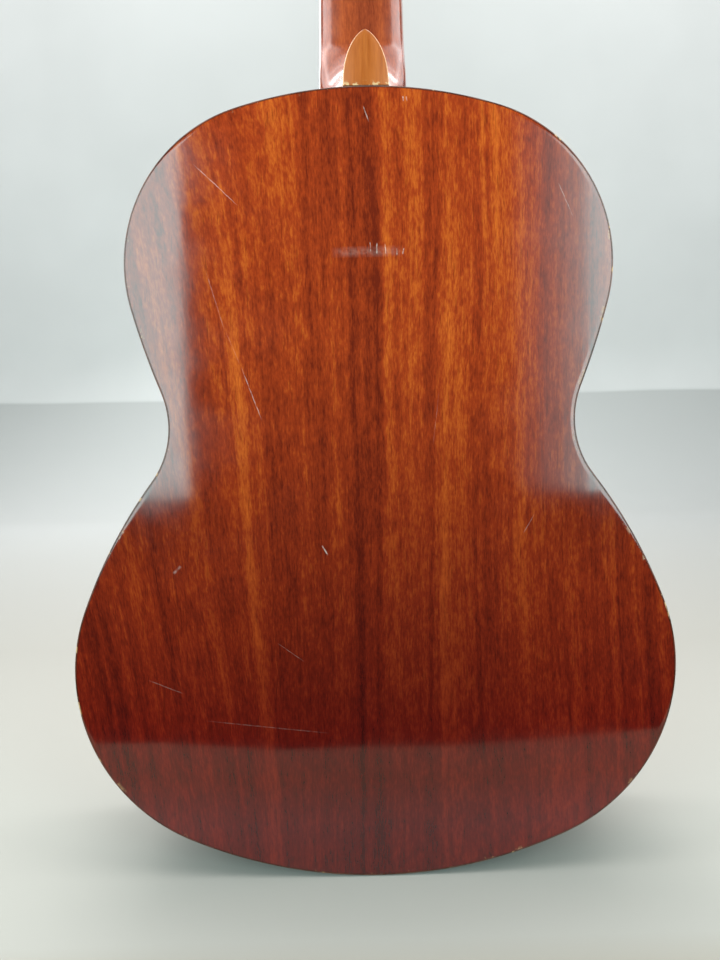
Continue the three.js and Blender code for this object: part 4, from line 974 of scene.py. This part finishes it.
stage_sheet()
COOL = (0.72, 1.0, 1.0)
softbox("window_left", (0.905, 1.19, 0.68), (0.084, 0.058, 0.68), (0.91, 1.1), 20, COOL)
WINDOW_X, WINDOW_Y, WINDOW_Z = -0.952, 1.18, 0.68
WINDOW_WIDTH, WINDOW_HEIGHT, EDGE_WIDTH = 0.67, 1.1, 0.07
ALONG_X, ALONG_Y = 0.81, 0.588  # the way the right window runs, towards the middle
softbox("window_right", (WINDOW_X, WINDOW_Y, WINDOW_Z), (-0.129, 0.046, WINDOW_Z),
        (WINDOW_WIDTH, WINDOW_HEIGHT), 15.5, COOL)
for k, share in enumerate((0.5, 0.28, 0.12)):
    # the right window's soft inner edge
    inwards = WINDOW_WIDTH / 2 + EDGE_WIDTH * (k + 0.5)
    at = (WINDOW_X + ALONG_X * inwards, WINDOW_Y + ALONG_Y * inwards, WINDOW_Z)
    softbox(f"window_edge_{k + 1}", at, (at[0] + ALONG_Y, at[1] - ALONG_X, WINDOW_Z),
            (EDGE_WIDTH, WINDOW_HEIGHT), 1.15 * share, COOL)
softbox("overhead", (0.0, 0.1, 2.4), (0, 0.1, 0.2), (0.8, 2.4), 4)
softbox("backdrop_wash", (0.0, -0.7, 3.2), (0, -2.2, 0.3), (4.6, 0.6), 82)
softbox("side_left", (1.4, 0.2, 0.75), (0, 0, 0.6), (1.2, 1.3), 5)
softbox("side_right", (-1.4, 0.2, 0.75), (0, 0, 0.6), (1.2, 1.3), 4.5)
softbox("neck_left", (0.5, 0.12, 0.72), (0, -0.03, 0.56), (0.5, 0.7), 3)
softbox("neck_right", (-0.5, 0.12, 0.72), (0, -0.03, 0.56), (0.5, 0.7), 3)
softbox("heel_card", (0, -0.2, 1.2), (0, 0, 0.5), (1.4, 0.8), 7)
softbox("heel_card_back", (0, 0.3, 1.25), (0, 0, 0.5), (1.4, 0.4), 3.5)
softbox("front_fill", (0.7, -1.7, 1.5), (0, -0.05, 0.4), (1.2, 1.2), 16)
world = bpy.data.worlds.new("room")
bpy.context.scene.world = world
world.use_nodes = True
nodes, links = world.node_tree.nodes, world.node_tree.links
pale, path = nodes.new("ShaderNodeBackground"), nodes.new("ShaderNodeLightPath")
blend = nodes.new("ShaderNodeMixShader")
nodes["Background"].inputs[0].default_value = (0.5, 0.52, 0.52, 1)
nodes["Background"].inputs[1].default_value = 0.08
pale.inputs[0].default_value = (0.6, 0.62, 0.61, 1)
links.new(path.outputs["Is Camera Ray"], blend.inputs[0])
links.new(nodes["Background"].outputs[0], blend.inputs[1])
links.new(pale.outputs[0], blend.inputs[2])
links.new(blend.outputs[0], nodes["World Output"].inputs[0])
bpy.context.scene.view_settings.view_transform = "Standard"
